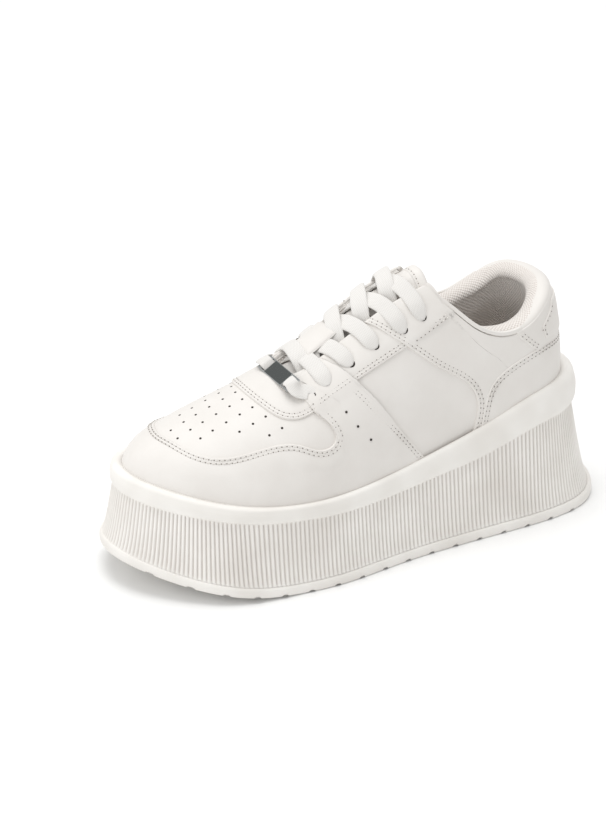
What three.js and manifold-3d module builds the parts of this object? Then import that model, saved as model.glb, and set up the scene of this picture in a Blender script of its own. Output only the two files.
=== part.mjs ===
import * as THREE from 'three';
import Module from 'manifold-3d';
import { mergeVertices } from 'three/addons/utils/BufferGeometryUtils.js';

const wasm = await Module();
wasm.setup();

// A left low-top platform sneaker, in millimetres. +X points to the toe, +Y to the outer side
// of the foot and +Z up. The shoe stands on z = 0 and the origin is under its middle.

// ---------------------------------------------------------------- driving dimensions
const shoeLength = 290; // outsole, heel to toe
const ballWidth = 112; // outsole across the ball of the foot
const heelPlatform = 80; // top of the sole's lip above the ground at the heel
const instepRise = 96; // crest of the instep above the foot bed
const toeSpring = 16.5; // underside of the toe above the ground
const heelLift = 1.4; // underside of the heel's back edge above the ground
const outsoleThickness = 6;
const lipDepth = 13; // foot bed below the top of the lip
const wall = 2.8; // leather and lining of the upper
const collarPadding = 6.5; // what the padded collar adds to the wall
const tongueThickness = 4.5;
const overlayThickness = 1.2;
const overlayGap = 0.65; // under an overlay, so that its flat faces clear the upper's
const insoleThickness = 4;
const laceWidth = 8.5;
const laceThickness = 1.6;
const gap = 0.4; // between neighbouring pieces

// ---------------------------------------------------------------- tables
// Outlines from above: x in shoe lengths from the middle, y in ball widths.
const soleOutline = {
  heel: { x: -0.5, y: -0.018 },
  toe: { x: 0.5, y: -0.071 },
  rows: [
    { x: -0.462, outer: 0.246, inner: -0.246 },
    { x: -0.372, outer: 0.366, inner: -0.375 },
    { x: -0.207, outer: 0.402, inner: -0.37 },
    { x: -0.017, outer: 0.442, inner: -0.38 },
    { x: 0.121, outer: 0.5, inner: -0.455 },
    { x: 0.214, outer: 0.5, inner: -0.5 },
    { x: 0.328, outer: 0.464, inner: -0.496 },
    { x: 0.441, outer: 0.25, inner: -0.393 },
  ],
};
const lastOutline = {
  heel: { x: -0.421, y: -0.009 },
  toe: { x: 0.459, y: -0.071 },
  rows: [
    { x: -0.398, outer: 0.168, inner: -0.177 },
    { x: -0.335, outer: 0.277, inner: -0.286 },
    { x: -0.179, outer: 0.317, inner: -0.293 },
    { x: -0.017, outer: 0.362, inner: -0.317 },
    { x: 0.121, outer: 0.42, inner: -0.384 },
    { x: 0.207, outer: 0.429, inner: -0.417 },
    { x: 0.303, outer: 0.388, inner: -0.411 },
    { x: 0.407, outer: 0.21, inner: -0.313 },
  ],
};
// Middle line of the last, from above.
const spineRows = [
  { x: -0.317, y: -0.004 },
  { x: -0.138, y: 0 },
  { x: 0.069, y: -0.009 },
  { x: 0.241, y: -0.036 },
  { x: 0.362, y: -0.058 },
  { x: 0.46, y: -0.071 },
];
// Sections along the foot: the lip's top in heel platforms, its smooth band above the ribs in
// millimetres, the crest above the foot bed in instep rises, and how square the section is
// (2 is an ellipse).
const sectionRows = [
  { x: -0.443, lip: 0.972, band: 19.5, crest: 0.875, square: 2.05 },
  { x: -0.317, lip: 0.935, band: 18.5, crest: 0.955, square: 2.9 },
  { x: -0.207, lip: 0.81, band: 17, crest: 1.055, square: 2.5 },
  { x: -0.103, lip: 0.712, band: 14, crest: 1.085, square: 2.15 },
  { x: 0, lip: 0.644, band: 11.5, crest: 0.985, square: 2.05 },
  { x: 0.103, lip: 0.613, band: 9.5, crest: 0.802, square: 2.05 },
  { x: 0.19, lip: 0.617, band: 8.5, crest: 0.668, square: 2.05 },
  { x: 0.276, lip: 0.646, band: 8.5, crest: 0.558, square: 2.0 },
  { x: 0.345, lip: 0.688, band: 9, crest: 0.452, square: 2.05 },
  { x: 0.4, lip: 0.732, band: 10, crest: 0.375, square: 2.1 },
  { x: 0.46, lip: 0.785, band: 11, crest: 0.31, square: 2.2 },
];
// The platform's side wall: how far up its ribbed part or its smooth lip, and how far in from
// the sole's outline towards the last's.
const ribWallRows = [
  { up: 0, inward: 0.11 },
  { up: 0.1, inward: 0.19 },
  { up: 0.3, inward: 0.31 },
  { up: 1, inward: 0.62 },
];
const lipRows = [
  { up: 0.05, inward: 0.54 },
  { up: 0.5, inward: 0.5 },
  { up: 0.9, inward: 0.61 },
  { up: 1, inward: 0.76 },
];
// The collar's top edge by station, as heights above the ground on the two sides of the foot.
const collarRows = [
  { station: -143.8, outer: 128, inner: 128 },
  { station: -118, outer: 127, inner: 128 },
  { station: -100, outer: 120.5, inner: 124.5 },
  { station: -88, outer: 114.5, inner: 118.5 },
  { station: -76, outer: 112, inner: 113.5 },
  { station: -66, outer: 114, inner: 112.5 },
  { station: -55, outer: 120.5, inner: 117 },
  { station: -45, outer: 130, inner: 126.5 },
  { station: -36, outer: 138, inner: 136 },
];
// Half the width of the throat by station.
const throatRows = [
  { station: -38, half: 14.5 },
  { station: -10, half: 13.5 },
  { station: 15, half: 12.5 },
  { station: 36, half: 12 },
];
const throatRound = 36; // where its sides start to round in
const collarFront = -36; // the eyestays' top corners
// Eyelets by station, and how far they are from the middle.
const eyeletRows = [
  { station: 39.5, out: 24.3 },
  { station: 30, out: 23.6 },
  { station: 15.5, out: 21.9 },
  { station: 1, out: 21.4 },
  { station: -15.5, out: 21.6 },
  { station: -27, out: 21 },
];

// ---------------------------------------------------------------- curves
// Natural cubic spline through rows, straight beyond its ends.
function spline(xs, ys) {
  const n = xs.length;
  const bend = new Array(n).fill(0);
  const upper = new Array(n).fill(0);
  for (let i = 1; i < n - 1; i++) {
    const left = xs[i] - xs[i - 1];
    const right = xs[i + 1] - xs[i];
    const jump = (ys[i + 1] - ys[i]) / right - (ys[i] - ys[i - 1]) / left;
    const pivot = 2 * (left + right) - left * upper[i - 1];
    upper[i] = right / pivot;
    bend[i] = (6 * jump - left * bend[i - 1]) / pivot;
  }
  for (let i = n - 2; i > 0; i--) bend[i] -= upper[i] * bend[i + 1];
  return (x) => {
    let i = 0;
    while (i < n - 2 && x > xs[i + 1]) i++;
    const width = xs[i + 1] - xs[i];
    const slope = (ys[i + 1] - ys[i]) / width;
    if (x < xs[0]) return ys[0] + (x - xs[0]) * (slope - (width * bend[1]) / 6);
    if (x > xs[n - 1]) return ys[n - 1] + (x - xs[n - 1]) * (slope + (width * bend[n - 2]) / 6);
    const a = (xs[i + 1] - x) / width;
    const b = (x - xs[i]) / width;
    const sag = ((a ** 3 - a) * bend[i] + (b ** 3 - b) * bend[i + 1]) * (width ** 2 / 6);
    return a * ys[i] + b * ys[i + 1] + sag;
  };
}

// A table's column as a smooth function of another column.
function column(rows, along, across, alongUnit = 1, acrossUnit = 1) {
  return spline(rows.map((row) => row[along] * alongUnit), rows.map((row) => row[across] * acrossUnit));
}

// A closed outline through its heel, outer rows, toe and inner rows, as y of either side.
function closedOutline(table) {
  const knots = [
    [table.heel.x, table.heel.y],
    ...table.rows.map((row) => [row.x, row.outer]),
    [table.toe.x, table.toe.y],
    ...table.rows.toReversed().map((row) => [row.x, row.inner]),
  ].map(([x, y]) => [x * shoeLength, y * ballWidth]);
  const count = knots.length;
  const wrap = 4; // knots repeated past the start and end, so that the curve closes smoothly
  const along = [0];
  const loop = [];
  for (let i = -wrap; i <= count + wrap; i++) loop.push(knots[(i + count) % count]);
  for (let i = 1; i < loop.length; i++) {
    along.push(along[i - 1] + Math.hypot(loop[i][0] - loop[i - 1][0], loop[i][1] - loop[i - 1][1]) ** 0.5);
  }
  const atX = spline(along, loop.map((knot) => knot[0]));
  const atY = spline(along, loop.map((knot) => knot[1]));
  const points = [];
  const steps = 1200;
  for (let i = 0; i < steps; i++) {
    const t = along[wrap] + ((along[wrap + count] - along[wrap]) * i) / steps;
    points.push([atX(t), atY(t)]);
  }
  const back = Math.min(...points.map((point) => point[0]));
  const tip = Math.max(...points.map((point) => point[0]));
  // y is looked up by the angle whose sine is x's place between the ends, where it is smooth.
  const angle = (x) => Math.asin(Math.max(-1, Math.min(1, (2 * x - back - tip) / (tip - back))));
  const toeIndex = points.findIndex((point) => point[0] === tip);
  const heelIndex = points.findIndex((point) => point[0] === back);
  const walk = (from, to, step) => {
    const list = [];
    for (let i = from; i !== to; i = (i + step + steps) % steps) list.push(points[i]);
    return [...list, points[to]];
  };
  const sides = { 1: walk(heelIndex, toeIndex, 1), [-1]: walk(heelIndex, toeIndex, -1) };
  const y = (x, side) => {
    const list = sides[side];
    const target = angle(x);
    let low = 0;
    let high = list.length - 1;
    while (high - low > 1) {
      const middle = (low + high) >> 1;
      if (angle(list[middle][0]) <= target) low = middle;
      else high = middle;
    }
    const from = angle(list[low][0]);
    const to = angle(list[high][0]);
    const part = to > from ? Math.max(0, Math.min(1, (target - from) / (to - from))) : 0;
    return list[low][1] + (list[high][1] - list[low][1]) * part;
  };
  return { back, tip, y, sides };
}

// ---------------------------------------------------------------- the last
// A station is a length along the foot. Between heelCentre and toeStart it is x. Behind
// heelCentre it turns the section about an upright line there, as an angle times heelSweep,
// and past toeStart it eases into the tip as a sine does.
const heelCentre = -92;
const toeStart = 90;
const heelSweep = 33;
const spineY = column(spineRows, 'x', 'y', shoeLength, ballWidth);
const sole = closedOutline(soleOutline);
const last = closedOutline(lastOutline);
const backStation = heelCentre - (heelSweep * Math.PI) / 2;
const tipStation = toeStart + ((last.tip - toeStart) * Math.PI) / 2;

const heelTurn = (station) => Math.max(0, Math.min(Math.PI / 2, (heelCentre - station) / heelSweep));
const toeTurn = (station) =>
  Math.max(0, Math.min(Math.PI / 2, (station - toeStart) / (last.tip - toeStart)));

// Where a ray from the heel's centre meets an outline.
function heelRadius(outline, turn, ownSide) {
  const side = turn > Math.PI / 2 - 1e-6 ? 1 : ownSide; // both sides share the back seam
  const centreY = spineY(heelCentre);
  let low = 0;
  let high = 80;
  for (let i = 0; i < 40; i++) {
    const radius = (low + high) / 2;
    const x = heelCentre - radius * Math.sin(turn);
    const reach = side * (outline.y(Math.max(x, outline.back), side) - centreY);
    if (x > outline.back && radius * Math.cos(turn) < reach) low = radius;
    else high = radius;
  }
  return low;
}

// An outline's point at a station, moved outwards by grow.
function edge(outline, station, side, grow = 0) {
  const heel = heelTurn(station);
  const toe = toeTurn(station);
  const out = [Math.sin(toe) - Math.sin(heel), side * Math.cos(toe) * Math.cos(heel)];
  let point;
  if (heel > 0) {
    const radius = heelRadius(outline, heel, side);
    point = [heelCentre - radius * Math.sin(heel), spineY(heelCentre) + side * radius * Math.cos(heel)];
  } else {
    const x = toe > 0 ? toeStart + (outline.tip - toeStart) * Math.sin(toe) : station;
    point = [x, outline.y(x, side)];
  }
  return [point[0] + grow * out[0], point[1] + grow * out[1]];
}

const lipOf = column(sectionRows, 'x', 'lip', shoeLength, heelPlatform);
const bandOf = column(sectionRows, 'x', 'band', shoeLength);
const crestOf = column(sectionRows, 'x', 'crest', shoeLength, instepRise);
const squareOf = column(sectionRows, 'x', 'square', shoeLength);
const toeRounding = 2.8; // how full the toe is in side view
const lipHeight = (station, side) => lipOf(edge(last, station, side)[0]);
const bedHeight = (station, side) => lipHeight(station, side) - lipDepth;

// One section's half width, height above the bed, bed height and squareness.
const sectionMemory = new Map();
function section(station, side) {
  const key = `${station},${side}`;
  if (sectionMemory.has(key)) return sectionMemory.get(key);
  const [x, y] = edge(last, station, side);
  const heel = heelTurn(station);
  const half = heel > 0 ? heelRadius(last, heel, side) : Math.max(0, side * (y - spineY(x)));
  const rounding = Math.max(0, 1 - Math.sin(toeTurn(station)) ** toeRounding) ** (1 / toeRounding);
  const result = { x, half, bed: lipOf(x) - lipDepth, rise: crestOf(x) * rounding, square: squareOf(x) };
  sectionMemory.set(key, result);
  return result;
}

// A point of the upper's outer face: lean is 0 at the sole and a right angle at the crest.
function skinPoint(station, side, lean) {
  const { x, half, bed, rise, square } = section(station, side);
  const across = half * Math.max(0, Math.cos(lean)) ** (2 / square);
  const heel = heelTurn(station);
  const up = bed + rise * Math.max(0, Math.sin(lean)) ** (2 / square);
  if (heel > 0) {
    return new THREE.Vector3(
      heelCentre - across * Math.sin(heel), spineY(heelCentre) + side * across * Math.cos(heel), up);
  }
  return new THREE.Vector3(x, spineY(x) + side * across, up);
}

// The outward direction there. On the crest, at the back seam and at the tip it has no sideways
// part, so that both sides meet.
function skinNormal(station, side, lean) {
  const step = 0.02;
  if (station > tipStation - step) return new THREE.Vector3(1, 0, 0);
  const flat = Math.min(Math.max(lean, step), Math.PI / 2 - step);
  if (lean > Math.PI / 2 - 1e-5 && heelTurn(station) === 0) {
    const run = skinPoint(station + step, side, lean).sub(skinPoint(station - step, side, lean));
    return new THREE.Vector3(-run.z, 0, run.x).normalize();
  }
  const rise = skinPoint(station, side, flat + step).sub(skinPoint(station, side, flat - step));
  if (station < backStation + step) return new THREE.Vector3(-rise.z, 0, rise.x).normalize();
  const from = Math.max(station - step, backStation);
  const to = Math.min(station + step, tipStation);
  const run = skinPoint(to, side, flat).sub(skinPoint(from, side, flat));
  return rise.cross(run).multiplyScalar(side).normalize();
}

function offsetPoint(station, side, lean, offset) {
  return skinPoint(station, side, lean).addScaledVector(skinNormal(station, side, lean), offset);
}

// The lean at which a section reaches a height, or comes within a distance of the middle.
function leanAtHeight(station, side, height) {
  const { bed, rise, square } = section(station, side);
  const part = Math.max(0, Math.min(1, (height - bed) / Math.max(rise, 1e-6)));
  return Math.asin(part ** (square / 2));
}
function leanAtHalf(station, side, distance) {
  const { half, square } = section(station, side);
  const part = Math.max(0, Math.min(1, distance / Math.max(half, 1e-6)));
  return Math.acos(part ** (square / 2));
}

// ---------------------------------------------------------------- solids
function meshFrom(positions, triangles) {
  const geometry = new THREE.BufferGeometry();
  geometry.setAttribute('position', new THREE.Float32BufferAttribute(positions.flatMap((p) => [p.x, p.y, p.z]), 3));
  geometry.setIndex(triangles.flat());
  const merged = mergeVertices(geometry, 1e-3);
  const index = merged.index.array;
  const kept = [];
  for (let i = 0; i < index.length; i += 3) {
    const [a, b, c] = index.slice(i, i + 3);
    if (a !== b && b !== c && c !== a) kept.push(a, b, c);
  }
  const at = (i) => new THREE.Vector3().fromBufferAttribute(merged.attributes.position, i);
  let volume = 0;
  for (let i = 0; i < kept.length; i += 3) {
    volume += at(kept[i]).dot(at(kept[i + 1]).cross(at(kept[i + 2])));
  }
  if (volume < 0) {
    for (let i = 0; i < kept.length; i += 3) [kept[i + 1], kept[i + 2]] = [kept[i + 2], kept[i + 1]];
  }
  merged.setIndex(kept);
  return merged;
}

function toManifold(geometry) {
  const shape = new wasm.Mesh({
    numProp: 3,
    vertProperties: new Float32Array(geometry.attributes.position.array),
    triVerts: new Uint32Array(geometry.index.array),
  });
  return new wasm.Manifold(shape);
}

function fromManifold(solid) {
  const shape = solid.getMesh();
  const geometry = new THREE.BufferGeometry();
  geometry.setAttribute('position', new THREE.BufferAttribute(shape.vertProperties, 3));
  geometry.setIndex(new THREE.BufferAttribute(shape.triVerts, 1));
  return geometry;
}

// A solid sheet wrapped over the last, between two stations and two leans, and from an inner to
// an outer offset. Where its high edge is the crest, its two sides are joined there.
function wrapped({ stations, rows, low, high, inside, outside, bulge = () => 0 }) {
  const positions = [];
  const triangles = [];
  const crest = (station, side) => high(station, side) > Math.PI / 2 - 1e-6;
  const quad = (a, b, c, d) => triangles.push([a, b, c], [a, c, d]);
  for (const side of [1, -1]) {
    const loops = stations.map((station) => {
      const from = low(station, side);
      const to = Math.max(from, high(station, side));
      const outer = [];
      const inner = [];
      for (let row = 0; row <= rows; row++) {
        const lean = from + ((to - from) * row) / rows;
        outer.push(offsetPoint(station, side, lean, outside(station, row / rows)));
        inner.push(offsetPoint(station, side, lean, inside(station, row / rows)));
      }
      const middle = outer[rows].clone().lerp(inner[rows], 0.5);
      const up = outer[rows].clone().sub(outer[rows - 1]).normalize();
      middle.addScaledVector(up, bulge(station));
      return [...outer, middle, ...inner.reverse()];
    });
    const base = positions.length;
    const size = 2 * rows + 3;
    const at = (k, i) => base + k * size + (i % size);
    positions.push(...loops.flat());
    const face = side > 0 ? quad : (a, b, c, d) => quad(d, c, b, a);
    for (let k = 0; k < stations.length - 1; k++) {
      const joined = crest(stations[k], side) && crest(stations[k + 1], side);
      for (let i = 0; i < size; i++) {
        if (joined && (i === rows || i === rows + 1)) continue;
        face(at(k, i), at(k, i + 1), at(k + 1, i + 1), at(k + 1, i));
      }
    }
    const cap = (k, turn) => {
      for (let row = 0; row < rows; row++) {
        const corners = [at(k, row), at(k, row + 1), at(k, size - 2 - row), at(k, size - 1 - row)];
        if (turn) corners.reverse();
        face(...corners);
      }
      const tip = [at(k, rows), at(k, rows + 1), at(k, rows + 2)];
      if (turn !== side < 0) tip.reverse();
      if (!crest(stations[k], side)) triangles.push(tip);
    };
    if (stations[0] > backStation + 1e-6) cap(0, true);
    if (stations.at(-1) < tipStation - 1e-6) cap(stations.length - 1, false);
  }
  return meshFrom(positions, triangles);
}

// A solid of rings, each given as a point for a station and a side, with its first and last
// ring closed straight across.
function stacked(stations, rings) {
  const order = [
    ...stations.map((station) => [station, 1]),
    ...stations.slice(1, -1).toReversed().map((station) => [station, -1]),
  ];
  const positions = rings.flatMap((ring) => order.map(([station, side]) => new THREE.Vector3(...ring(station, side))));
  const size = order.length;
  const triangles = [];
  for (let r = 0; r < rings.length - 1; r++) {
    for (let i = 0; i < size; i++) {
      const a = r * size + i;
      const b = r * size + ((i + 1) % size);
      triangles.push([a, b, b + size], [a, b + size, a + size]);
    }
  }
  const across = (r, turn) => {
    const end = stations.length - 1;
    const outer = (k) => r * size + k;
    const inner = (k) => (k === 0 || k === end ? outer(k) : r * size + size - k);
    for (let k = 0; k < end; k++) {
      const faces = [[outer(k), inner(k), inner(k + 1)], [outer(k), inner(k + 1), outer(k + 1)]];
      for (const face of faces) triangles.push(turn ? face.reverse() : face);
    }
  };
  across(0, false);
  across(rings.length - 1, true);
  return meshFrom(positions, triangles);
}

// Stations from one to another in about equal steps of a length.
function steps(from, to, length) {
  const count = Math.max(1, Math.round(Math.abs(to - from) / length));
  return Array.from({ length: count + 1 }, (_, i) => from + ((to - from) * i) / count);
}
const fanStations = steps(backStation, heelCentre, 6.4);
const shankStations = steps(heelCentre, toeStart, 7.6);
const toeStations = steps(toeStart, tipStation, 6.6);
const throatFront = 49; // where the throat ends towards the toe
const throatStations = [42, 46, 48, throatFront];
const soleStations = [...fanStations, ...shankStations.slice(1), ...toeStations.slice(1)];
const allStations = soleStations
  .filter((station) => throatStations.every((other) => Math.abs(other - station) > 2))
  .concat(throatStations)
  .sort((a, b) => a - b);
const between = (from, to, extra = []) => [
  from,
  ...allStations.concat(extra).filter((s) => s > from + 1 && s < to - 0.2).sort((a, b) => a - b),
  to,
];

function smooth(from, to, value) {
  const part = Math.max(0, Math.min(1, (value - from) / (to - from)));
  return part * part * (3 - 2 * part);
}

// Height of the sole's underside above the ground: flat, with toe spring and heel lift.
const springStart = 50;
const liftStart = -118;
function underside(x) {
  const spring = Math.max(0, (x - springStart) / (shoeLength / 2 - springStart));
  const lift = Math.max(0, (liftStart - x) / (shoeLength / 2 + liftStart));
  return toeSpring * spring ** 2 + heelLift * lift ** 2;
}

// ---------------------------------------------------------------- pieces
// Outsole: a slab with cross grooves cut up into its underside.
const grooves = { first: 134, pitch: 15.6, count: 17, mouth: 3, depth: 1.8, top: 1.6 };
function makeOutsole() {
  const centres = Array.from({ length: grooves.count }, (_, i) => grooves.first - i * grooves.pitch);
  const depthAt = (x) => {
    const off = Math.min(...centres.map((centre) => Math.abs(x - centre)));
    const run = (grooves.mouth - grooves.top) / 2;
    return grooves.depth * Math.max(0, Math.min(1, (grooves.mouth / 2 - off) / run));
  };
  const marks = centres.flatMap((centre) =>
    [-grooves.mouth, -grooves.top, grooves.top, grooves.mouth].map((width) => centre + width / 2));
  const half = (sole.tip - sole.back) / 2;
  const rounded = steps(-Math.PI / 2, Math.PI / 2, Math.PI / 36).map((turn) => half * Math.sin(turn));
  const ends = rounded.filter((x) => marks.every((mark) => Math.abs(mark - x) > 1));
  const xs = [...ends, ...marks].sort((a, b) => a - b);
  const rim = (inward, height) => (x, side) => {
    const middle = sole.y(x, 1) / 2 + sole.y(x, -1) / 2;
    const share = 1 - (2 * inward) / ballWidth;
    return [x * share, middle + (sole.y(x, side) - middle) * share, height(x * share, x)];
  };
  return stacked(xs, [
    rim(1.2, (x, mark) => underside(x) + depthAt(mark)),
    rim(0, (x) => underside(x) + 2.4),
    rim(0.2, (x) => underside(x) + outsoleThickness - 1),
    rim(1.4, (x) => underside(x) + outsoleThickness),
  ]);
}

// Midsole: the tall platform, leaning in from the outsole, with a lip round the foot bed.
function towards(inward, station, side) {
  const from = edge(sole, station, side);
  const to = edge(last, station, side);
  return [from[0] + (to[0] - from[0]) * inward, from[1] + (to[1] - from[1]) * inward];
}
function makeMidsole() {
  const ribRing = ({ up, inward }) => (station, side) => {
    const [x, y] = towards(inward, station, side);
    const bottom = underside(x) + outsoleThickness + gap;
    const top = lipHeight(station, side) - bandOf(edge(last, station, side)[0]);
    return [x, y, bottom + (top - bottom) * up];
  };
  const lipRing = ({ up, inward }) => (station, side) => {
    const [x, y] = towards(inward, station, side);
    const band = bandOf(edge(last, station, side)[0]);
    return [x, y, lipHeight(station, side) - band * (1 - up)];
  };
  // The pocket's wall follows the upper's face down to the bed.
  const nearUpper = (depth) => (station, side) => {
    const at = Math.min(station, lastReaching(lipDepth - depth));
    const height = lipHeight(at, side) - depth;
    const point = skinPoint(at, side, leanAtHeight(at, side, height));
    const [x, y] = edge(last, at, side);
    const [outX, outY] = edge(last, at, side, gap * 1.3);
    return [point.x + outX - x, point.y + outY - y, height];
  };
  const pocket = (station, side) => [...edge(last, station, side, gap * 1.3), bedHeight(station, side)];
  const inner = [0.6, 4, 8].map(nearUpper);
  return stacked(soleStations, [...ribWallRows.map(ribRing), ...lipRows.map(lipRing), ...inner, pocket]);
}

// The foremost station whose crest stands this high above the bed.
function lastReaching(height) {
  return steps(toeStart, tipStation, 0.05).findLast((station) => section(station, 1).rise >= height);
}

// Insole: a footbed lying inside the upper.
function makeInsole() {
  const ring = (grow, height) => (station, side) => [
    ...edge(last, station, side, grow - wall - gap), bedHeight(station, side) + height];
  return stacked(soleStations, [
    ring(-1.2, gap), ring(-0.6, gap + 1), ring(-1, gap + insoleThickness - 1), ring(-2.4, gap + insoleThickness)]);
}

// The opening's edge: the throat's half width in front, and the collar's height behind.
const throatHalf = column(throatRows, 'station', 'half');
const collarHeight = { 1: column(collarRows, 'station', 'outer'), [-1]: column(collarRows, 'station', 'inner') };
function openingLean(station, ownSide) {
  const side = station < backStation + 1e-6 ? 1 : ownSide;
  if (station >= throatFront) return Math.PI / 2;
  const inwards = Math.max(0, (station - throatRound) / (throatFront - throatRound));
  const throat = leanAtHalf(station, side, throatHalf(station) * Math.sqrt(Math.max(0, 1 - inwards ** 2)));
  const collar = leanAtHeight(station, side, collarHeight[side](station));
  const turned = smooth(collarFront - 2.5, collarFront + 3.5, station);
  return collar + (throat - collar) * turned;
}

const paddingStart = -40; // the collar's padding grows from here
const paddingFull = -66; // to here
const collarBulge = 2.6; // how far its rim is rounded up
// Upper: one hollow leather shell, thicker round the padded collar.
function makeUpper() {
  const padding = (station, up) =>
    collarPadding * smooth(paddingStart, paddingFull, station) * smooth(0.45, 0.85, up);
  return wrapped({
    stations: allStations,
    rows: 7,
    low: (station, side) => leanAtHeight(station, side, bedHeight(station, side) + gap),
    high: openingLean,
    inside: (station, up) => -wall - padding(station, up),
    outside: () => 0,
    bulge: (station) => collarBulge * smooth(paddingStart, paddingFull, station),
  });
}

// Tongue: a padded tab under the throat, standing up past the top eyelets.
const tongueTop = -34;
const tongueFront = 62;
const tongueDrop = 1.3; // the tongue lies this far under the lining
function makeTongue() {
  return wrapped({
    stations: between(tongueTop, tongueFront),
    rows: 4,
    low: (station, side) => leanAtHalf(station, side, 27 + 4 * smooth(40, -30, station)),
    high: () => Math.PI / 2,
    inside: () => -wall - tongueDrop - tongueThickness,
    outside: () => -wall - tongueDrop,
  });
}

// Overlays: thin leather panels over the upper, each between two leans by station. Their seams
// are straight between the rows of a table of stations and heights.
function seam(rows, key) {
  return (station) => {
    const next = rows.findIndex((row) => row.station >= station);
    if (next <= 0) return (next === 0 ? rows[0] : rows.at(-1))[key];
    const [from, to] = [rows[next - 1], rows[next]];
    return from[key] + ((to[key] - from[key]) * (station - from.station)) / (to.station - from.station);
  };
}
function makeOverlay(from, to, low, high, rows = 4, extra = []) {
  return wrapped({
    stations: between(from, to, extra),
    rows,
    low,
    high: (station, side) => Math.min(Math.PI / 2, Math.max(high(station, side), low(station, side) + 0.02)),
    inside: () => overlayGap,
    outside: () => overlayGap + overlayThickness,
  });
}
const lipClearance = 1.2;
const overLip = (station, side) => leanAtHeight(station, side, lipHeight(station, side) + lipClearance);
// Eases a seam's lean up to the crest between two stations.
function roundedToCrest(lean, from, to, station) {
  const part = Math.max(0, Math.min(1, (station - from) / (to - from)));
  return Math.PI / 2 - (Math.PI / 2 - lean) * Math.sqrt(1 - part ** 2);
}

const toeOverlayRows = [
  { station: -20, height: 57 },
  { station: -8, height: 72.5 },
  { station: 5, height: 87 },
  { station: 15, height: 97 },
  { station: 40, height: 86.5 },
  { station: 44, height: 77 },
  { station: 54, height: 78 },
  { station: 61, height: 78.7 },
  { station: 75, height: 77 },
  { station: 88, height: 75 },
  { station: 100, height: 74.5 },
  { station: 116, height: 76.5 },
];
const toeOverlayFront = 117; // its inner edge crosses the crest here
const toeOverlayRound = 100;
function makeToeOverlay() {
  const height = seam(toeOverlayRows, 'height');
  const high = (station, side) => roundedToCrest(
    leanAtHeight(station, side, height(station)), toeOverlayRound, toeOverlayFront, station);
  return makeOverlay(-20, lastReaching(lipDepth + lipClearance + 0.4), overLip, high, 4,
    [106, 112.5, 115.5, toeOverlayFront]);
}
const eyestayRows = [
  { station: -44, height: 127.8 },
  { station: -16, height: 115.5 },
  { station: 18, height: 101.5 },
  { station: 41, height: 91.2 },
  { station: 50, height: 88.5 },
  { station: 67, height: 90 },
];
const eyestayFront = 67;
const eyestayRound = 48;
const eyestayInset = 0.03; // of lean, from the throat's edge
function makeEyestay() {
  const height = seam(eyestayRows, 'height');
  const low = (station, side) => roundedToCrest(
    leanAtHeight(station, side, height(station)), eyestayRound, eyestayFront, station);
  const high = (station, side) => {
    const lean = openingLean(station, side);
    return lean > Math.PI / 2 - 1e-6 ? lean : lean - eyestayInset;
  };
  return makeOverlay(-44, eyestayFront, low, high, 4, [55, 63, 65.5]);
}
const counterRows = [
  { station: -144, height: 101.5 },
  { station: -106, height: 101 },
  { station: -90, height: 98.8 },
  { station: -77, height: 94.7 },
  { station: -65, height: 86.6 },
  { station: -60, height: 75.6 },
  { station: -58, height: 69 },
];
function makeHeelCounter() {
  const height = seam(counterRows, 'height');
  return makeOverlay(backStation, -58, overLip, (station, side) => leanAtHeight(station, side, height(station)));
}
const tabRows = [
  { station: -144, low: 103.5, high: 120.5 },
  { station: -118, low: 103.5, high: 119.5 },
  { station: -108, low: 104.5, high: 116.5 },
  { station: -100, low: 107, high: 112 },
];
function makeHeelTab() {
  const [low, high] = ['low', 'high'].map((key) => {
    const height = seam(tabRows, key);
    return (station, side) => leanAtHeight(station, side, height(station));
  });
  return makeOverlay(backStation, -100, low, high, 3);
}

// A flat strap swept along a path over the last: each row of the path has a station, a signed
// distance across, and a lift above the upper's face.
function strap(path, width, thickness) {
  const centres = path.map(({ station, across, lift }) => {
    const side = across < 0 ? -1 : 1;
    const lean = leanAtHalf(station, side, Math.abs(across));
    const normal = skinNormal(station, side, lean);
    return { point: skinPoint(station, side, lean).addScaledVector(normal, lift), normal };
  });
  const profile = [[-0.5, 0], [-0.4, 0.5], [0.4, 0.5], [0.5, 0], [0.4, -0.5], [-0.4, -0.5]];
  const positions = centres.flatMap(({ point, normal }, i) => {
    const next = centres[Math.min(i + 1, centres.length - 1)].point;
    const along = next.clone().sub(centres[Math.max(i - 1, 0)].point).normalize();
    const acrossWay = normal.clone().cross(along).normalize();
    const up = along.clone().cross(acrossWay);
    return profile.map(([w, t]) =>
      point.clone().addScaledVector(acrossWay, w * width).addScaledVector(up, t * thickness));
  });
  const size = profile.length;
  const triangles = [];
  for (let k = 0; k < centres.length - 1; k++) {
    for (let i = 0; i < size; i++) {
      const a = k * size + i;
      const b = k * size + ((i + 1) % size);
      triangles.push([a, b, b + size], [a, b + size, a + size]);
    }
  }
  const end = (centres.length - 1) * size;
  for (let i = 1; i < size - 1; i++) triangles.push([0, i + 1, i], [end, end + i, end + i + 1]);
  return meshFrom(positions, triangles);
}

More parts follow.
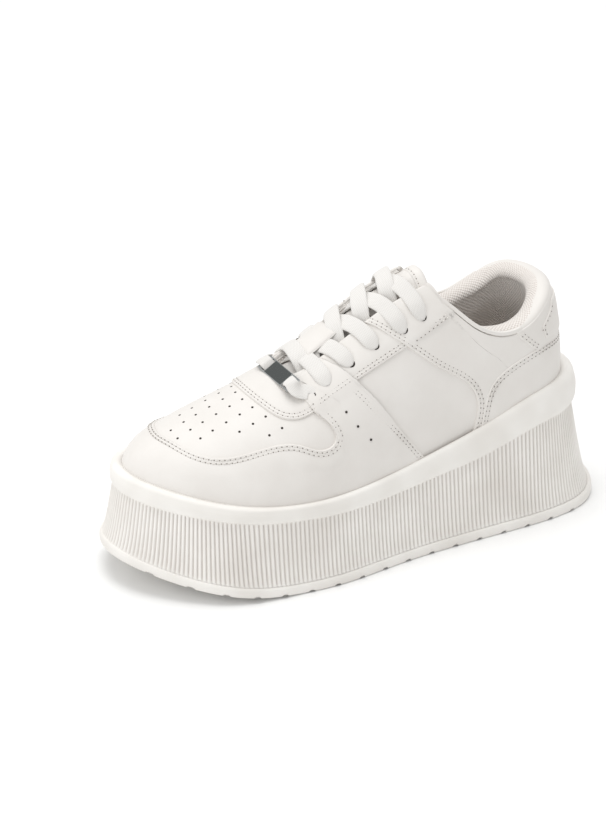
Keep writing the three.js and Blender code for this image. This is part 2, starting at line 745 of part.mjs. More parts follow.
// Lace: a bar between the first eyelets joined to five crossings, lying over the eyestays.
const laceLift = overlayGap + overlayThickness + gap + 0.3 + laceThickness / 2;
function laceRun(from, to, hump = 0) {
  return strap(steps(0, 1, 1 / 8).map((part) => ({
    station: from.station + (to.station - from.station) * part,
    across: from.across + (to.across - from.across) * part,
    lift: laceLift + hump * Math.sin(Math.PI * part),
  })), laceWidth, laceThickness);
}
const throatEdge = 7.5; // how far from the middle a crossing comes up between the eyestays
const barStation = 43.5;
const lacePassOver = 1.1; // how far one strand humps over the other
function laceCrossing(row) {
  const start = eyeletRows[row].station + (row === 0 ? -2.5 : 4);
  const strand = (side, hump) => toManifold(laceRun(
    { station: start, across: -side * throatEdge },
    { station: eyeletRows[row + 1].station, across: side * eyeletRows[row + 1].out }, hump));
  return strand(1, 0).add(strand(-1, row === 0 ? 0 : lacePassOver));
}
function makeLace() {
  const bar = toManifold(laceRun(
    { station: barStation, across: -eyeletRows[0].out }, { station: barStation, across: eyeletRows[0].out }));
  return fromManifold(eyeletRows.slice(1).reduce((lace, _, row) => lace.add(laceCrossing(row)), bar));
}

// Lace tag: a small metal plate on the bar, with a slot at each end.
const tag = {
  station: 46, across: 3, length: 31, width: 9.5, thickness: 1.2, slotLength: 2.6, slotWidth: 7.2, slotIn: 2.2,
};
function placedOnCrest(geometry, station, lift) {
  const normal = skinNormal(station, 1, Math.PI / 2);
  const across = new THREE.Vector3(0, 1, 0);
  const along = across.clone().cross(normal);
  const place = new THREE.Matrix4().makeBasis(along, across, normal);
  place.setPosition(skinPoint(station, 1, Math.PI / 2).addScaledVector(normal, lift));
  return geometry.applyMatrix4(place);
}
function boxGeometry(x, y, z, offsetY = 0) {
  const box = new THREE.BoxGeometry(x, y, z).translate(0, offsetY, 0);
  box.deleteAttribute('normal');
  box.deleteAttribute('uv');
  return mergeVertices(box);
}
function makeLaceTag() {
  const slotAt = (tag.length - tag.slotLength) / 2 - tag.slotIn;
  let plate = toManifold(boxGeometry(tag.width, tag.length, tag.thickness));
  for (const offset of [-slotAt, slotAt]) {
    plate = plate.subtract(toManifold(boxGeometry(tag.slotWidth, tag.slotLength, 2 * tag.thickness, offset)));
  }
  const lift = laceLift + laceThickness / 2 + gap + tag.thickness / 2;
  return placedOnCrest(fromManifold(plate).translate(0, tag.across, 0), tag.station, lift);
}

// Keeper: a leather loop across the tongue, under the crossings.
const keeper = { station: 20, width: 14, reach: 8.5, thickness: 1.2 };
const makeKeeper = () => strap(steps(-1, 1, 0.2).map((part) => ({
  station: keeper.station,
  across: part * keeper.reach,
  lift: -wall + gap + keeper.thickness / 2,
})), keeper.width, keeper.thickness);

const material = (color, roughness, metalness = 0) =>
  new THREE.MeshStandardMaterial({ color, roughness, metalness });
const leather = material(0xe4dfdb, 0.55);
const lining = material(0xb9b2ac, 0.9);
const rubber = material(0xebe8e2, 0.65);
const cord = material(0xece9e4, 0.85);
const steel = material(0x8c8f92, 0.25, 1);

const sneaker = new THREE.Group();
function add(name, geometry, finish) {
  const mesh = new THREE.Mesh(geometry, finish);
  mesh.name = name;
  sneaker.add(mesh);
}
add('outsole', makeOutsole(), rubber);
add('midsole', makeMidsole(), rubber);
add('insole', makeInsole(), lining);
add('upper', makeUpper(), leather);
add('tongue', makeTongue(), leather);
add('tongue_keeper', makeKeeper(), leather);
add('toe_overlay', makeToeOverlay(), leather);
add('eyestay', makeEyestay(), leather);
add('heel_counter', makeHeelCounter(), leather);
add('heel_tab', makeHeelTab(), leather);
add('lace', makeLace(), cord);
add('lace_tag', makeLaceTag(), steel);

export default sneaker;
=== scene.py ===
import math
import bmesh
import bpy
import numpy as np
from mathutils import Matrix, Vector


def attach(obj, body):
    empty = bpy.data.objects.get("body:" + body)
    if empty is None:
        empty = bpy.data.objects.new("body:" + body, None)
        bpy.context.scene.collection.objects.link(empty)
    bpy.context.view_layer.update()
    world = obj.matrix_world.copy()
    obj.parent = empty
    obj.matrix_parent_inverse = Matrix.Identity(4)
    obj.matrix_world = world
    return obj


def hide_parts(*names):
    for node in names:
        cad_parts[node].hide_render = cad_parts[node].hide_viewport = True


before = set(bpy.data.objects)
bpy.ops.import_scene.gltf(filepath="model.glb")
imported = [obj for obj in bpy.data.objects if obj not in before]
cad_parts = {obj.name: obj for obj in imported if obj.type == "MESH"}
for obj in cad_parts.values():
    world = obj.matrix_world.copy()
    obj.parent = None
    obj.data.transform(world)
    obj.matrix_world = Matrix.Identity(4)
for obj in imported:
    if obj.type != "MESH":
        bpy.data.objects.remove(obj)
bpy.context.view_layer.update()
print("frame loaded")

# Every length below is in millimetres until a mesh is made. +X is the toe, +Y the outer side.

# The camera stands off the toe's outer side and looks down at the shoe.
view = {"turn": 28.8, "rise": 27.0, "distance": 2180.0, "focal": 3990.0, "frameHeight": 818,
        "sensor": 36, "aimRight": -28.4, "aimUp": 64.5}


def makeCamera():
    # back is the unit direction from the shoe to the camera, and right is the picture's right
    turn, rise = math.radians(view["turn"]), math.radians(view["rise"])
    back = Vector((math.sin(turn) * math.cos(rise), math.cos(turn) * math.cos(rise), math.sin(rise)))
    right = Vector((-math.cos(turn), math.sin(turn), 0))
    up = right.cross(-back)
    target = right * view["aimRight"] + up * view["aimUp"]
    data = bpy.data.cameras.new("camera")
    data.sensor_width = view["sensor"]
    data.lens = view["focal"] * view["sensor"] / view["frameHeight"]
    data.clip_end = 50
    camera = bpy.data.objects.new("camera", data)
    camera.location = back * view["distance"] * 0.001
    camera.rotation_euler = (target - back * view["distance"]).to_track_quat("-Z", "Y").to_euler()
    bpy.context.collection.objects.link(camera)
    bpy.context.scene.camera = camera


# Daylight from all round, a soft key overhead, and a wide fill before the toe.
light = {"sky": 0.75, "key": 30.0, "keySize": 1.5, "keyAt": (0.15, -0.2, 2.5), "fill": 17.5, "fillSize": 2.0,
         "fillAt": (2.6, 0.35, 1.5)}


def makeLights():
    world = bpy.data.worlds.new("studio")
    world.use_nodes = True
    world.node_tree.nodes["Background"].inputs["Color"].default_value = (1, 1, 1, 1)
    world.node_tree.nodes["Background"].inputs["Strength"].default_value = light["sky"]
    bpy.context.scene.world = world
    for name in ("key", "fill"):
        data = bpy.data.lights.new(name, "AREA")
        data.energy = light[name]
        data.size = light[name + "Size"]
        lamp = bpy.data.objects.new(name, data)
        lamp.location = light[name + "At"]
        lamp.rotation_euler = (Vector((0, 0, 0.05)) - lamp.location).to_track_quat("-Z", "Y").to_euler()
        bpy.context.collection.objects.link(lamp)
    bpy.context.scene.view_settings.view_transform = "Standard"


makeCamera()
makeLights()


class Socket:
    # one output of a node, on which arithmetic adds Math nodes
    def __init__(self, shader, link):
        self.shader, self.link = shader, link

    def maths(self, operation, *values):
        return self.shader.node("Math", {"operation": operation}, dict(enumerate((self, *values)))).out(0)

    def out(self, key):
        return Socket(self.shader, self.link.node.outputs[key])

    def __add__(self, other): return self.maths("ADD", other)
    def __radd__(self, other): return self.maths("ADD", other)
    def __sub__(self, other): return self.maths("SUBTRACT", other)
    def __mul__(self, other): return self.maths("MULTIPLY", other)
    def sine(self): return self.maths("SINE")
    def clamped(self): return self.shader.node("Clamp", {}, {"Value": self}).out(0)


class Shader:
    # a material's node tree, with its Principled shader as surface
    def __init__(self, name, **constants):
        self.material = bpy.data.materials.new(name)
        self.material.use_nodes = True
        self.tree = self.material.node_tree
        self.surface = self.tree.nodes["Principled BSDF"]
        self.put(self.surface, constants)

    def put(self, node, values):
        for key, value in values.items():
            if value is None:
                continue
            target = node.inputs[key.replace("_", " ") if isinstance(key, str) else key]
            if isinstance(value, Socket):
                self.tree.links.new(value.link, target)
            elif isinstance(value, (tuple, list)) and len(value) == 3 and target.type == "RGBA":
                target.default_value = (*value, 1)
            else:
                target.default_value = value

    def node(self, kind, settings=None, values=None):
        made = self.tree.nodes.new("ShaderNode" + kind)
        for key, value in (settings or {}).items():
            setattr(made, key, value)
        self.put(made, values or {})
        return Socket(self, made.outputs[0])

    def place(self):
        # object coordinates in millimetres
        where = self.node("TexCoord").out("Object")
        return self.node("VectorMath", {"operation": "SCALE"}, {0: where, "Scale": 1000})

    def uv(self):
        return self.node("TexCoord").out("UV")

    def noise(self, where, scale, detail=3.0, rough=0.55):
        return self.node("TexNoise", {}, {"Vector": where, "Scale": scale, "Detail": detail,
                                          "Roughness": rough}).out("Fac")

    def blend(self, factor, first, second):
        made = self.node("Mix", {"data_type": "RGBA"}, {"Factor": factor})
        for key, value in ((6, first), (7, second)):
            self.put(made.link.node, {key: value})
        return made.out(2)

    def bump(self, height, strength, distance, under=None):
        return self.node("Bump", {}, {"Height": height, "Strength": strength, "Distance": distance,
                                      "Normal": under}).out("Normal")

    def finish(self, **values):
        self.put(self.surface, values)
        return self.material


def srgb(r, g, b):
    # screen numbers from 0 to 255 to linear light
    values = [c / 255 for c in (r, g, b)]
    return tuple(c / 12.92 if c <= 0.04045 else ((c + 0.055) / 1.055) ** 2.4 for c in values)


finishes = {
    "leather": {"colour": (230, 227, 223), "worn": (219, 215, 210), "roughness": 0.47, "grain": 0.22},
    # the rubber's groove colour is painted shade for the bottoms of the ribs' grooves
    "rubber": {"colour": (242, 240, 236), "dust": (222, 218, 212), "groove": (205, 199, 193),
               "roughness": 0.6},
    # the mesh's deep colour is painted shade in its openings
    "mesh": {"colour": (236, 231, 226), "deep": (206, 198, 191), "pitch": 1.0},
    # the lace's deep colour is painted shade in the low parts of its weave
    "lace": {"colour": (226, 224, 221), "deep": (203, 199, 193)},
    "lining": {"colour": (214, 206, 199)},
}


def leatherFinish(name, colour, worn, grainScale=1.0):
    # pebbled skin from cells under a fine noise, with faint cloudy colour and rubbed roughness
    values = finishes["leather"]
    shader = Shader(name, IOR=1.46, Coat_Weight=0.06, Coat_Roughness=0.35)
    where = shader.place()
    cells = shader.node("TexVoronoi", {"feature": "DISTANCE_TO_EDGE"},
                        {"Vector": where, "Scale": 1.15 * grainScale, "Randomness": 0.9}).out("Distance")
    pebble = (cells * 2.4).clamped()
    fine = shader.noise(where, 2.3 * grainScale, 4.0)
    cloud = shader.noise(where, 0.035, 3.0)
    fold = shader.noise(where, 0.16, 4.0, 0.6)
    tint = shader.blend((cloud * 1.6 - 0.45).clamped(), srgb(*worn), srgb(*colour))
    rough = values["roughness"] + fine * 0.1 + cloud * 0.08
    height = pebble * 0.5 + fine * 0.5
    normal = shader.bump(height, values["grain"], 0.00006)
    normal = shader.bump(fold, 0.3, 0.0004, normal)
    return shader.finish(Base_Color=tint, Roughness=rough, Normal=normal)


def rubberFinish(name, ribbed=False):
    # moulded foam rubber: fine grain, a cloudy dusty tone at random, and painted shade darkening the bottoms
    # of the ribs' grooves
    values = finishes["rubber"]
    shader = Shader(name, IOR=1.5)
    where = shader.place()
    fine = shader.noise(where, 1.8, 4.0, 0.6)
    cloud = shader.noise(where, 0.03, 2.0)
    tint = shader.blend((cloud * 1.8 - 0.4).clamped(), srgb(*values["dust"]), srgb(*values["colour"]))
    if ribbed:
        # painted shade: the groove colour darkens the rubber towards the bottom of each groove
        grooveShadeMask = shader.node("SeparateXYZ", {}, {"Vector": shader.uv()}).out("X")
        tint = shader.blend((grooveShadeMask * 0.85).clamped(), tint, srgb(*values["groove"]))
    normal = shader.bump(fine, 0.2, 0.00004)
    return shader.finish(Base_Color=tint, Roughness=values["roughness"] + fine * 0.12, Normal=normal)


def meshFinish():
    # spacer mesh on the piece's own map, in millimetres: round openings in staggered rows, darkened with
    # painted shade
    values = finishes["mesh"]
    shader = Shader("liningMesh", Roughness=0.9, Sheen_Weight=0.25, Sheen_Roughness=0.5)
    parts = shader.node("SeparateXYZ", {}, {"Vector": shader.uv()})
    turn = 2 * math.pi / values["pitch"]
    across, along = parts.out("X") * (turn * 500), parts.out("Y") * (turn * 500)
    holes = (across.sine() * along.sine()) * 0.5 + 0.5
    thread = shader.noise(shader.place(), 3.0, 2.0)
    # painted shade: the openings take the darker deep colour
    tint = shader.blend((holes * 1.3 - 0.1).clamped(), srgb(*values["deep"]), srgb(*values["colour"]))
    normal = shader.bump(holes + thread * 0.3, 0.7, 0.0005)
    return shader.finish(Base_Color=tint, Normal=normal)


def laceFinish():
    # flat woven cord on its own map: ribs along it and a fine weave across, its low parts darkened with
    # painted shade
    values = finishes["lace"]
    shader = Shader("laceWeave", Roughness=0.85, Sheen_Weight=0.2, Sheen_Roughness=0.5)
    parts = shader.node("SeparateXYZ", {}, {"Vector": shader.uv()})
    lean = parts.out("X") * (2 * math.pi / 0.00085)
    ribs = (lean + parts.out("Y") * (math.pi / 0.0011)).sine()
    picks = (lean - parts.out("Y") * (math.pi / 0.0011)).sine()
    weave = ribs * 0.25 + picks * 0.25 + 0.5
    fuzz = shader.noise(shader.place(), 2.5, 3.0)
    # painted shade: the deep colour darkens the weave where it is low
    tint = shader.blend((weave * 0.9 + 0.25).clamped(), srgb(*values["deep"]), srgb(*values["colour"]))
    normal = shader.bump(weave + fuzz * 0.35, 0.4, 0.00016)
    return shader.finish(Base_Color=tint, Normal=normal)


def plainFinish(name, colour, roughness, metallic=0.0, **extra):
    # one finish with a faint noise in its roughness
    shader = Shader(name, Metallic=metallic, **extra)
    fine = shader.noise(shader.place(), 1.2, 3.0)
    tint = shader.blend(fine, srgb(*[c * 0.94 for c in colour]), srgb(*colour))
    return shader.finish(Base_Color=tint, Roughness=roughness + fine * 0.08)


leather = leatherFinish("smoothLeather", finishes["leather"]["colour"], finishes["leather"]["worn"])
rubber = rubberFinish("soleRubber")
ribbedRubber = rubberFinish("ribbedSoleRubber", ribbed=True)
lining = meshFinish()
laceCloth = laceFinish()
innerLeather = leatherFinish("innerLeather", finishes["lining"]["colour"], (200, 192, 185), 1.3)
thread = plainFinish("stitchThread", (226, 222, 217), 0.7)
# painted shade: a grey colour standing for the dark inside of each needle hole
needle = plainFinish("needleHoleShade", (138, 131, 125), 0.95)
# painted shade: a dark colour standing for the inside of the punched holes
hole = plainFinish("punchedHoleShade", (62, 57, 53), 0.95)
steel = plainFinish("polishedSteel", (176, 178, 178), 0.14, 1.0)
# painted reflection: a darker copy of the polished steel for the tag's flat face
paintedReflectionSteel = plainFinish("paintedReflectionPolishedSteel", (101, 104, 103), 0.22, 1.0)


def curveThrough(xs, ys):
    # natural cubic spline through rows, straight beyond its ends
    xs, ys = np.asarray(xs, float), np.asarray(ys, float)
    count, step, rise = len(xs), np.diff(xs), np.diff(ys)
    system, right = np.eye(count), np.zeros(count)
    for i in range(1, count - 1):
        system[i, i - 1:i + 2] = step[i - 1], 2 * (step[i - 1] + step[i]), step[i]
        right[i] = 6 * (rise[i] / step[i] - rise[i - 1] / step[i - 1])
    bend = np.linalg.solve(system, right)
    first = rise[0] / step[0] - step[0] * bend[1] / 6
    final = rise[-1] / step[-1] + step[-1] * bend[-2] / 6

    def at(x):
        inside = np.clip(np.asarray(x, float), xs[0], xs[-1])
        i = np.clip(np.searchsorted(xs, inside, side="right") - 1, 0, count - 2)
        width = step[i]
        a, b = (xs[i + 1] - inside) / width, (inside - xs[i]) / width
        sag = ((a ** 3 - a) * bend[i] + (b ** 3 - b) * bend[i + 1]) * width ** 2 / 6
        beyond = np.minimum(x - xs[0], 0) * first + np.maximum(x - xs[-1], 0) * final
        return a * ys[i] + b * ys[i + 1] + sag + beyond

    return at


def smoothStep(start, end, value):
    part = np.clip((np.asarray(value, float) - start) / (end - start), 0, 1)
    return part * part * (3 - 2 * part)


shoe = {
    "length": 290, "ballWidth": 112, "heelPlatform": 80, "instepRise": 96, "toeSpring": 16.5, "heelLift": 1.4,
    "outsole": 6, "lipDepth": 13, "wall": 2.8, "heelCentre": -92, "toeStart": 90, "heelSweep": 33,
    "toeRounding": 2.8, "springStart": 50, "liftStart": -118, "throatFront": 49, "throatRound": 36,
    "collarFront": -36,
}
# x in shoe lengths, then y in ball widths on the outer and the inner side
soleRows = [(-0.462, 0.246, -0.246), (-0.372, 0.366, -0.375), (-0.207, 0.402, -0.37), (-0.017, 0.442, -0.38),
            (0.121, 0.5, -0.455), (0.214, 0.5, -0.5), (0.328, 0.464, -0.496), (0.441, 0.25, -0.393)]
lastRows = [(-0.398, 0.168, -0.177), (-0.335, 0.277, -0.286), (-0.179, 0.317, -0.293),
            (-0.017, 0.362, -0.317),
            (0.121, 0.42, -0.384), (0.207, 0.429, -0.417), (0.303, 0.388, -0.411), (0.407, 0.21, -0.313)]
spineRows = [(-0.317, -0.004), (-0.138, 0), (0.069, -0.009), (0.241, -0.036), (0.362, -0.058), (0.46, -0.071)]
# x, the lip's top in heel platforms, the smooth band, the crest in instep rises, and squareness
sectionRows = [(-0.443, 0.972, 19.5, 0.875, 2.05), (-0.317, 0.935, 18.5, 0.955, 2.9),
               (-0.207, 0.81, 17, 1.055, 2.5),
               (-0.103, 0.712, 14, 1.085, 2.15), (0, 0.644, 11.5, 0.985, 2.05),
               (0.103, 0.613, 9.5, 0.802, 2.05),
               (0.19, 0.617, 8.5, 0.668, 2.05), (0.276, 0.646, 8.5, 0.558, 2.0),
               (0.345, 0.688, 9, 0.452, 2.05),
               (0.4, 0.732, 10, 0.375, 2.1), (0.46, 0.785, 11, 0.31, 2.2)]
# the collar's top edge by station, on the outer and the inner side
collarRows = [(-143.8, 128, 128), (-118, 127, 128), (-100, 120.5, 124.5), (-88, 114.5, 118.5),
              (-76, 112, 113.5),
              (-66, 114, 112.5), (-55, 120.5, 117), (-45, 130, 126.5), (-36, 138, 136)]
throatRows = [(-38, 14.5), (-10, 13.5), (15, 12.5), (36, 12)]
eyeletRows = [(39.5, 24.3), (30, 23.6), (15.5, 21.9), (1, 21.4), (-15.5, 21.6), (-27, 21)]


class Outline:
    # a closed curve from above through heel, outer rows, toe and inner rows, smooth where it closes
    def __init__(self, heel, toe, rows):
        knots = np.array([heel] + [(x, outer) for x, outer, _ in rows] + [toe]
                         + [(x, inner) for x, _, inner in rows[::-1]]) * (shoe["length"], shoe["ballWidth"])
        count = len(knots)
        loop = np.take(knots, np.arange(-4, count + 5), axis=0, mode="wrap")
        along = np.r_[0, np.cumsum(np.hypot(*np.diff(loop, axis=0).T) ** 0.5)]
        t = np.linspace(along[4], along[4 + count], 3601)[:-1]
        points = np.stack([curveThrough(along, loop[:, 0])(t), curveThrough(along, loop[:, 1])(t)], -1)
        x = points[:, 0]
        self.back, self.tip = x.min(), x.max()
        heelAt, toeAt = x.argmin(), x.argmax()
        outer = np.roll(points, -heelAt, axis=0)[:(toeAt - heelAt) % len(x) + 1]
        inner = np.roll(points[::-1], heelAt + 1, axis=0)[:(heelAt - toeAt) % len(x) + 1]
        self.sides = [(self.angle(side[:, 0]), side[:, 1]) for side in (outer, inner)]
        centre = np.array([shoe["heelCentre"], spineY(shoe["heelCentre"])])
        near = points[x < shoe["heelCentre"] + 12] - centre
        polar = np.arctan2(-near[:, 0], near[:, 1])
        order = np.argsort(polar)
        self.polar, self.radius = polar[order], np.hypot(*near[order].T)

    def angle(self, x):
        return np.arcsin(np.clip((2 * x - self.back - self.tip) / (self.tip - self.back), -1, 1))

    def y(self, x, side):
        place = self.angle(np.asarray(x, float))
        outer, inner = (np.interp(place, *rows) for rows in self.sides)
        return np.where(np.asarray(side) > 0, outer, inner)

    def heelRadius(self, turn, side):
        return np.interp(np.where(side > 0, turn, np.pi - turn), self.polar, self.radius)


def column(rows, key, unit=1.0, along=1.0):
    return curveThrough([row[0] * along for row in rows], [row[key] * unit for row in rows])


spineY = column(spineRows, 1, shoe["ballWidth"], shoe["length"])
sole = Outline((-0.5, -0.018), (0.5, -0.071), soleRows)
last = Outline((-0.421, -0.009), (0.459, -0.071), lastRows)
lipOf = column(sectionRows, 1, shoe["heelPlatform"], shoe["length"])
bandOf = column(sectionRows, 2, 1, shoe["length"])
crestOf = column(sectionRows, 3, shoe["instepRise"], shoe["length"])
squareOf = column(sectionRows, 4, 1, shoe["length"])
collarOf = [column(collarRows, 1), column(collarRows, 2)]
throatHalf = column(throatRows, 1)
backStation = shoe["heelCentre"] - shoe["heelSweep"] * np.pi / 2
tipStation = shoe["toeStart"] + (last.tip - shoe["toeStart"]) * np.pi / 2


# A station is a length along the foot. Behind the heel's centre it fans round an upright line
# there, and past the toe's start it eases into the tip as a sine does.
def heelTurn(station):
    return np.clip((shoe["heelCentre"] - station) / shoe["heelSweep"], 0, np.pi / 2 + 0.2)


def toeTurn(station):
    return np.clip((station - shoe["toeStart"]) / (last.tip - shoe["toeStart"]), 0, np.pi / 2)


def edge(outline, station, side):
    # an outline's point at a station, as x and y
    station, side = np.broadcast_arrays(np.asarray(station, float), np.asarray(side, float))
    heel, toe = heelTurn(station), toeTurn(station)
    radius = outline.heelRadius(heel, side)
    x = np.where(toe > 0, shoe["toeStart"] + (outline.tip - shoe["toeStart"]) * np.sin(toe), station)
    fanX = shoe["heelCentre"] - radius * np.sin(heel)
    fanY = spineY(shoe["heelCentre"]) + side * radius * np.cos(heel)
    return np.where(heel > 0, fanX, x), np.where(heel > 0, fanY, outline.y(x, side))


def section(station, side):
    # x, half width, bed, rise and squareness of the last's section at a station
    x, y = edge(last, station, side)
    heel = heelTurn(station)
    half = np.where(heel > 0, last.heelRadius(heel, side), np.maximum(0, side * (y - spineY(x))))
    power = shoe["toeRounding"]
    rounding = np.maximum(0, 1 - np.sin(toeTurn(station)) ** power) ** (1 / power)
    return x, half, lipOf(x) - shoe["lipDepth"], crestOf(x) * rounding, squareOf(x)


# A drop is 0 on the crest, 1 at the sole's outer edge and -1 at its inner edge.
def fold(station, drop):
    # past the tip or the back seam the surface goes on down the other side
    over, under = station > tipStation, station < backStation
    station = np.where(over, 2 * tipStation - station, np.where(under, 2 * backStation - station, station))
    return station, np.where(over | under, -drop, drop)


def skinPoint(station, drop):
    # superelliptic section: half cos^(2/n) across, and bed + rise sin^(2/n) up
    station, drop = fold(np.asarray(station, float), np.asarray(drop, float))
    side = np.where(drop < 0, -1.0, 1.0)
    x, half, bed, rise, square = section(station, side)
    lean = (1 - np.minimum(np.abs(drop), 1)) * np.pi / 2
    across = half * np.maximum(0, np.cos(lean)) ** (2 / square)
    up = bed + rise * np.maximum(0, np.sin(lean)) ** (2 / square)
    heel = heelTurn(station)
    fanX = shoe["heelCentre"] - across * np.sin(heel)
    fanY = spineY(shoe["heelCentre"]) + side * across * np.cos(heel)
    return np.stack([np.where(heel > 0, fanX, x), np.where(heel > 0, fanY, spineY(x) + side * across), up],
                    -1)


def skinNormal(station, drop):
    # cross product of the surface's two directions, both taken over a short step each way
    run = skinPoint(station + 0.4, drop) - skinPoint(station - 0.4, drop)
    reach = np.clip(np.abs(drop), 0, 0.985) * np.sign(drop)
    fall = skinPoint(station, reach + 0.012) - skinPoint(station, reach - 0.012)
    normal = np.cross(run, fall)
    size = np.linalg.norm(normal, axis=-1, keepdims=True)
    normal = np.where(size > 1e-9, normal / np.maximum(size, 1e-9), (1.0, 0, 0))
    return normal


def overSkin(station, drop, lift):
    station, drop, lift = np.broadcast_arrays(*(np.asarray(v, float) for v in (station, drop, lift)))
    return skinPoint(station, drop) + skinNormal(station, drop) * lift[..., None]


def dropAtHeight(station, side, height):
    _, _, bed, rise, square = section(station, side)
    part = np.clip((height - bed) / np.maximum(rise, 1e-6), 0, 1)
    return side * (1 - np.arcsin(part ** (square / 2)) * 2 / np.pi)


def dropAtHalf(station, side, distance):
    _, half, _, _, square = section(station, side)
    part = np.clip(distance / np.maximum(half, 1e-6), 0, 1)
    return side * (1 - np.arccos(part ** (square / 2)) * 2 / np.pi)


def openingDrop(station, side):
    # the throat's half width in front, turning into the collar's height behind
    station = np.asarray(station, float)
    inwards = np.clip((station - shoe["throatRound"]) / (shoe["throatFront"] - shoe["throatRound"]), 0, 1)
    throat = np.abs(dropAtHalf(station, side, throatHalf(station) * np.sqrt(np.maximum(0, 1 - inwards ** 2))))
    height = np.where(np.asarray(side) > 0, collarOf[0](station), collarOf[1](station))
    collar = np.abs(dropAtHeight(station, side, height))
    turned = smoothStep(shoe["collarFront"] - 2.5, shoe["collarFront"] + 3.5, station)
    return side * np.where(station >= shoe["throatFront"], 0, collar + (throat - collar) * turned)


def underside(x):
    # flat, then a parabola up to the toe and another up to the heel's back edge
    spring = np.maximum(0, (x - shoe["springStart"]) / (shoe["length"] / 2 - shoe["springStart"]))
    lift = np.maximum(0, (shoe["liftStart"] - x) / (shoe["length"] / 2 + shoe["liftStart"]))
    return shoe["toeSpring"] * spring ** 2 + shoe["heelLift"] * lift ** 2


def gridFaces(rows, columns, base=0, closeRows=False, closeColumns=False):
    # quads between neighbours of a grid, wrapping round where it closes
    r = np.arange(rows if closeRows else rows - 1)[:, None]
    c = np.arange(columns if closeColumns else columns - 1)[None, :]
    nextR, nextC = (r + 1) % rows, (c + 1) % columns
    corners = [r * columns + c, nextR * columns + c, nextR * columns + nextC, r * columns + nextC]
    return np.stack([base + corner for corner in np.broadcast_arrays(*corners)], -1).reshape(-1, 4)


def makePiece(name, points, faces, materials, uv=None, merge=0.0005, replaces=(), faceMaterial=None):
    # points in millimetres and quads or triangles to a smooth closed mesh that rides on the shoe;
    # materials is one, or a tuple that faceMaterial picks from
    points = np.asarray(points, float).reshape(-1, 3) * 0.001
    mesh = bpy.data.meshes.new(name)
    if isinstance(faces, np.ndarray):
        size = faces.shape[1]
        mesh.vertices.add(len(points))
        mesh.vertices.foreach_set("co", points.astype(np.float32).ravel())
        mesh.loops.add(faces.size)
        mesh.loops.foreach_set("vertex_index", faces.astype(np.int32).ravel())
        mesh.polygons.add(len(faces))
        mesh.polygons.foreach_set("loop_start", np.arange(0, faces.size, size, dtype=np.int32))
        mesh.update(calc_edges=True)
    else:
        mesh.from_pydata(points.tolist(), [], [list(map(int, f)) for f in faces])
    if uv is not None:
        layer = mesh.uv_layers.new(name="map")
        loops = np.zeros(len(mesh.loops), np.int32)
        mesh.loops.foreach_get("vertex_index", loops)
        layer.data.foreach_set("uv", np.asarray(uv, np.float32).reshape(-1, 2)[loops].ravel())
    if faceMaterial is not None:
        mesh.polygons.foreach_set("material_index", np.asarray(faceMaterial, np.int32))
    work = bmesh.new()
    work.from_mesh(mesh)
    if merge:
        bmesh.ops.remove_doubles(work, verts=work.verts, dist=merge * 0.001)
        bmesh.ops.dissolve_degenerate(work, edges=work.edges, dist=1e-7)
    if work.calc_volume(signed=True) < 0:
        bmesh.ops.reverse_faces(work, faces=work.faces)
    work.to_mesh(mesh)
    work.free()
    mesh.polygons.foreach_set("use_smooth", np.ones(len(mesh.polygons), bool))
    for material in materials if isinstance(materials, tuple) else (materials,):
        mesh.materials.append(material)
    piece = bpy.data.objects.new(name, mesh)
    bpy.context.collection.objects.link(piece)
    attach(piece, "root")
    if replaces:
        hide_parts(*replaces)
    print("made", name, len(mesh.polygons))
    return piece


def makeSheet(name, outer, inner, uv=None, replaces=()):
    # leather between two grids of points, closed by strips between their borders
    rows, columns = outer.shape[:2]
    front = gridFaces(rows, columns)
    back = gridFaces(rows, columns, rows * columns)[:, ::-1]
    index = np.arange(rows * columns).reshape(rows, columns)
    border = np.r_[index[0, :-1], index[:-1, -1], index[-1, :0:-1], index[:0:-1, 0]]
    after = np.roll(border, -1)
    total = rows * columns
    faces = np.concatenate([front, back, np.stack([border, after, after + total, border + total], -1)])
    return makePiece(name, np.stack([outer, inner]), faces, leather,
                     uv=None if uv is None else np.stack([uv, uv]) * 0.001, replaces=replaces)


def capped(rings):
    # rings along a path, with each end closed to a point
    size = rings.shape[1]
    return np.concatenate([rings[:1].mean(1, keepdims=True).repeat(size, 1), rings,
                           rings[-1:].mean(1, keepdims=True).repeat(size, 1)])


def manyGrids(count, rows, columns):
    # the faces of count tubes, each a grid of points after the last one's
    starts = np.arange(count) * rows * columns
    return (gridFaces(rows, columns, closeColumns=True)[None] + starts[:, None, None]).reshape(-1, 4)


def smoothEdges(distances, radius):
    # a quarter circle's height over the distance in from an edge, from 0 to 1
    return np.sqrt(np.clip(1 - (1 - np.clip(distances / radius, 0, 1)) ** 2, 0, 1))


def lengths(points, axis):
    # running length along an axis of a grid of points
    step = np.linalg.norm(np.diff(points, axis=axis), axis=-1)
    pad = [(0, 0)] * step.ndim
    pad[axis] = (1, 0)
    return np.pad(np.cumsum(step, axis=axis), pad)


def spacedRows(total, near, count):
    # distances along a total: the near rows from both ends, and even steps between
    near = np.asarray(near, float)
    share = np.minimum(1, 0.42 * total / near[-1])
    near = near * share
    middle = np.linspace(near[-1], total - near[-1], count + 2)[1:-1]
    return np.r_[near, middle, (total - near)[::-1]]


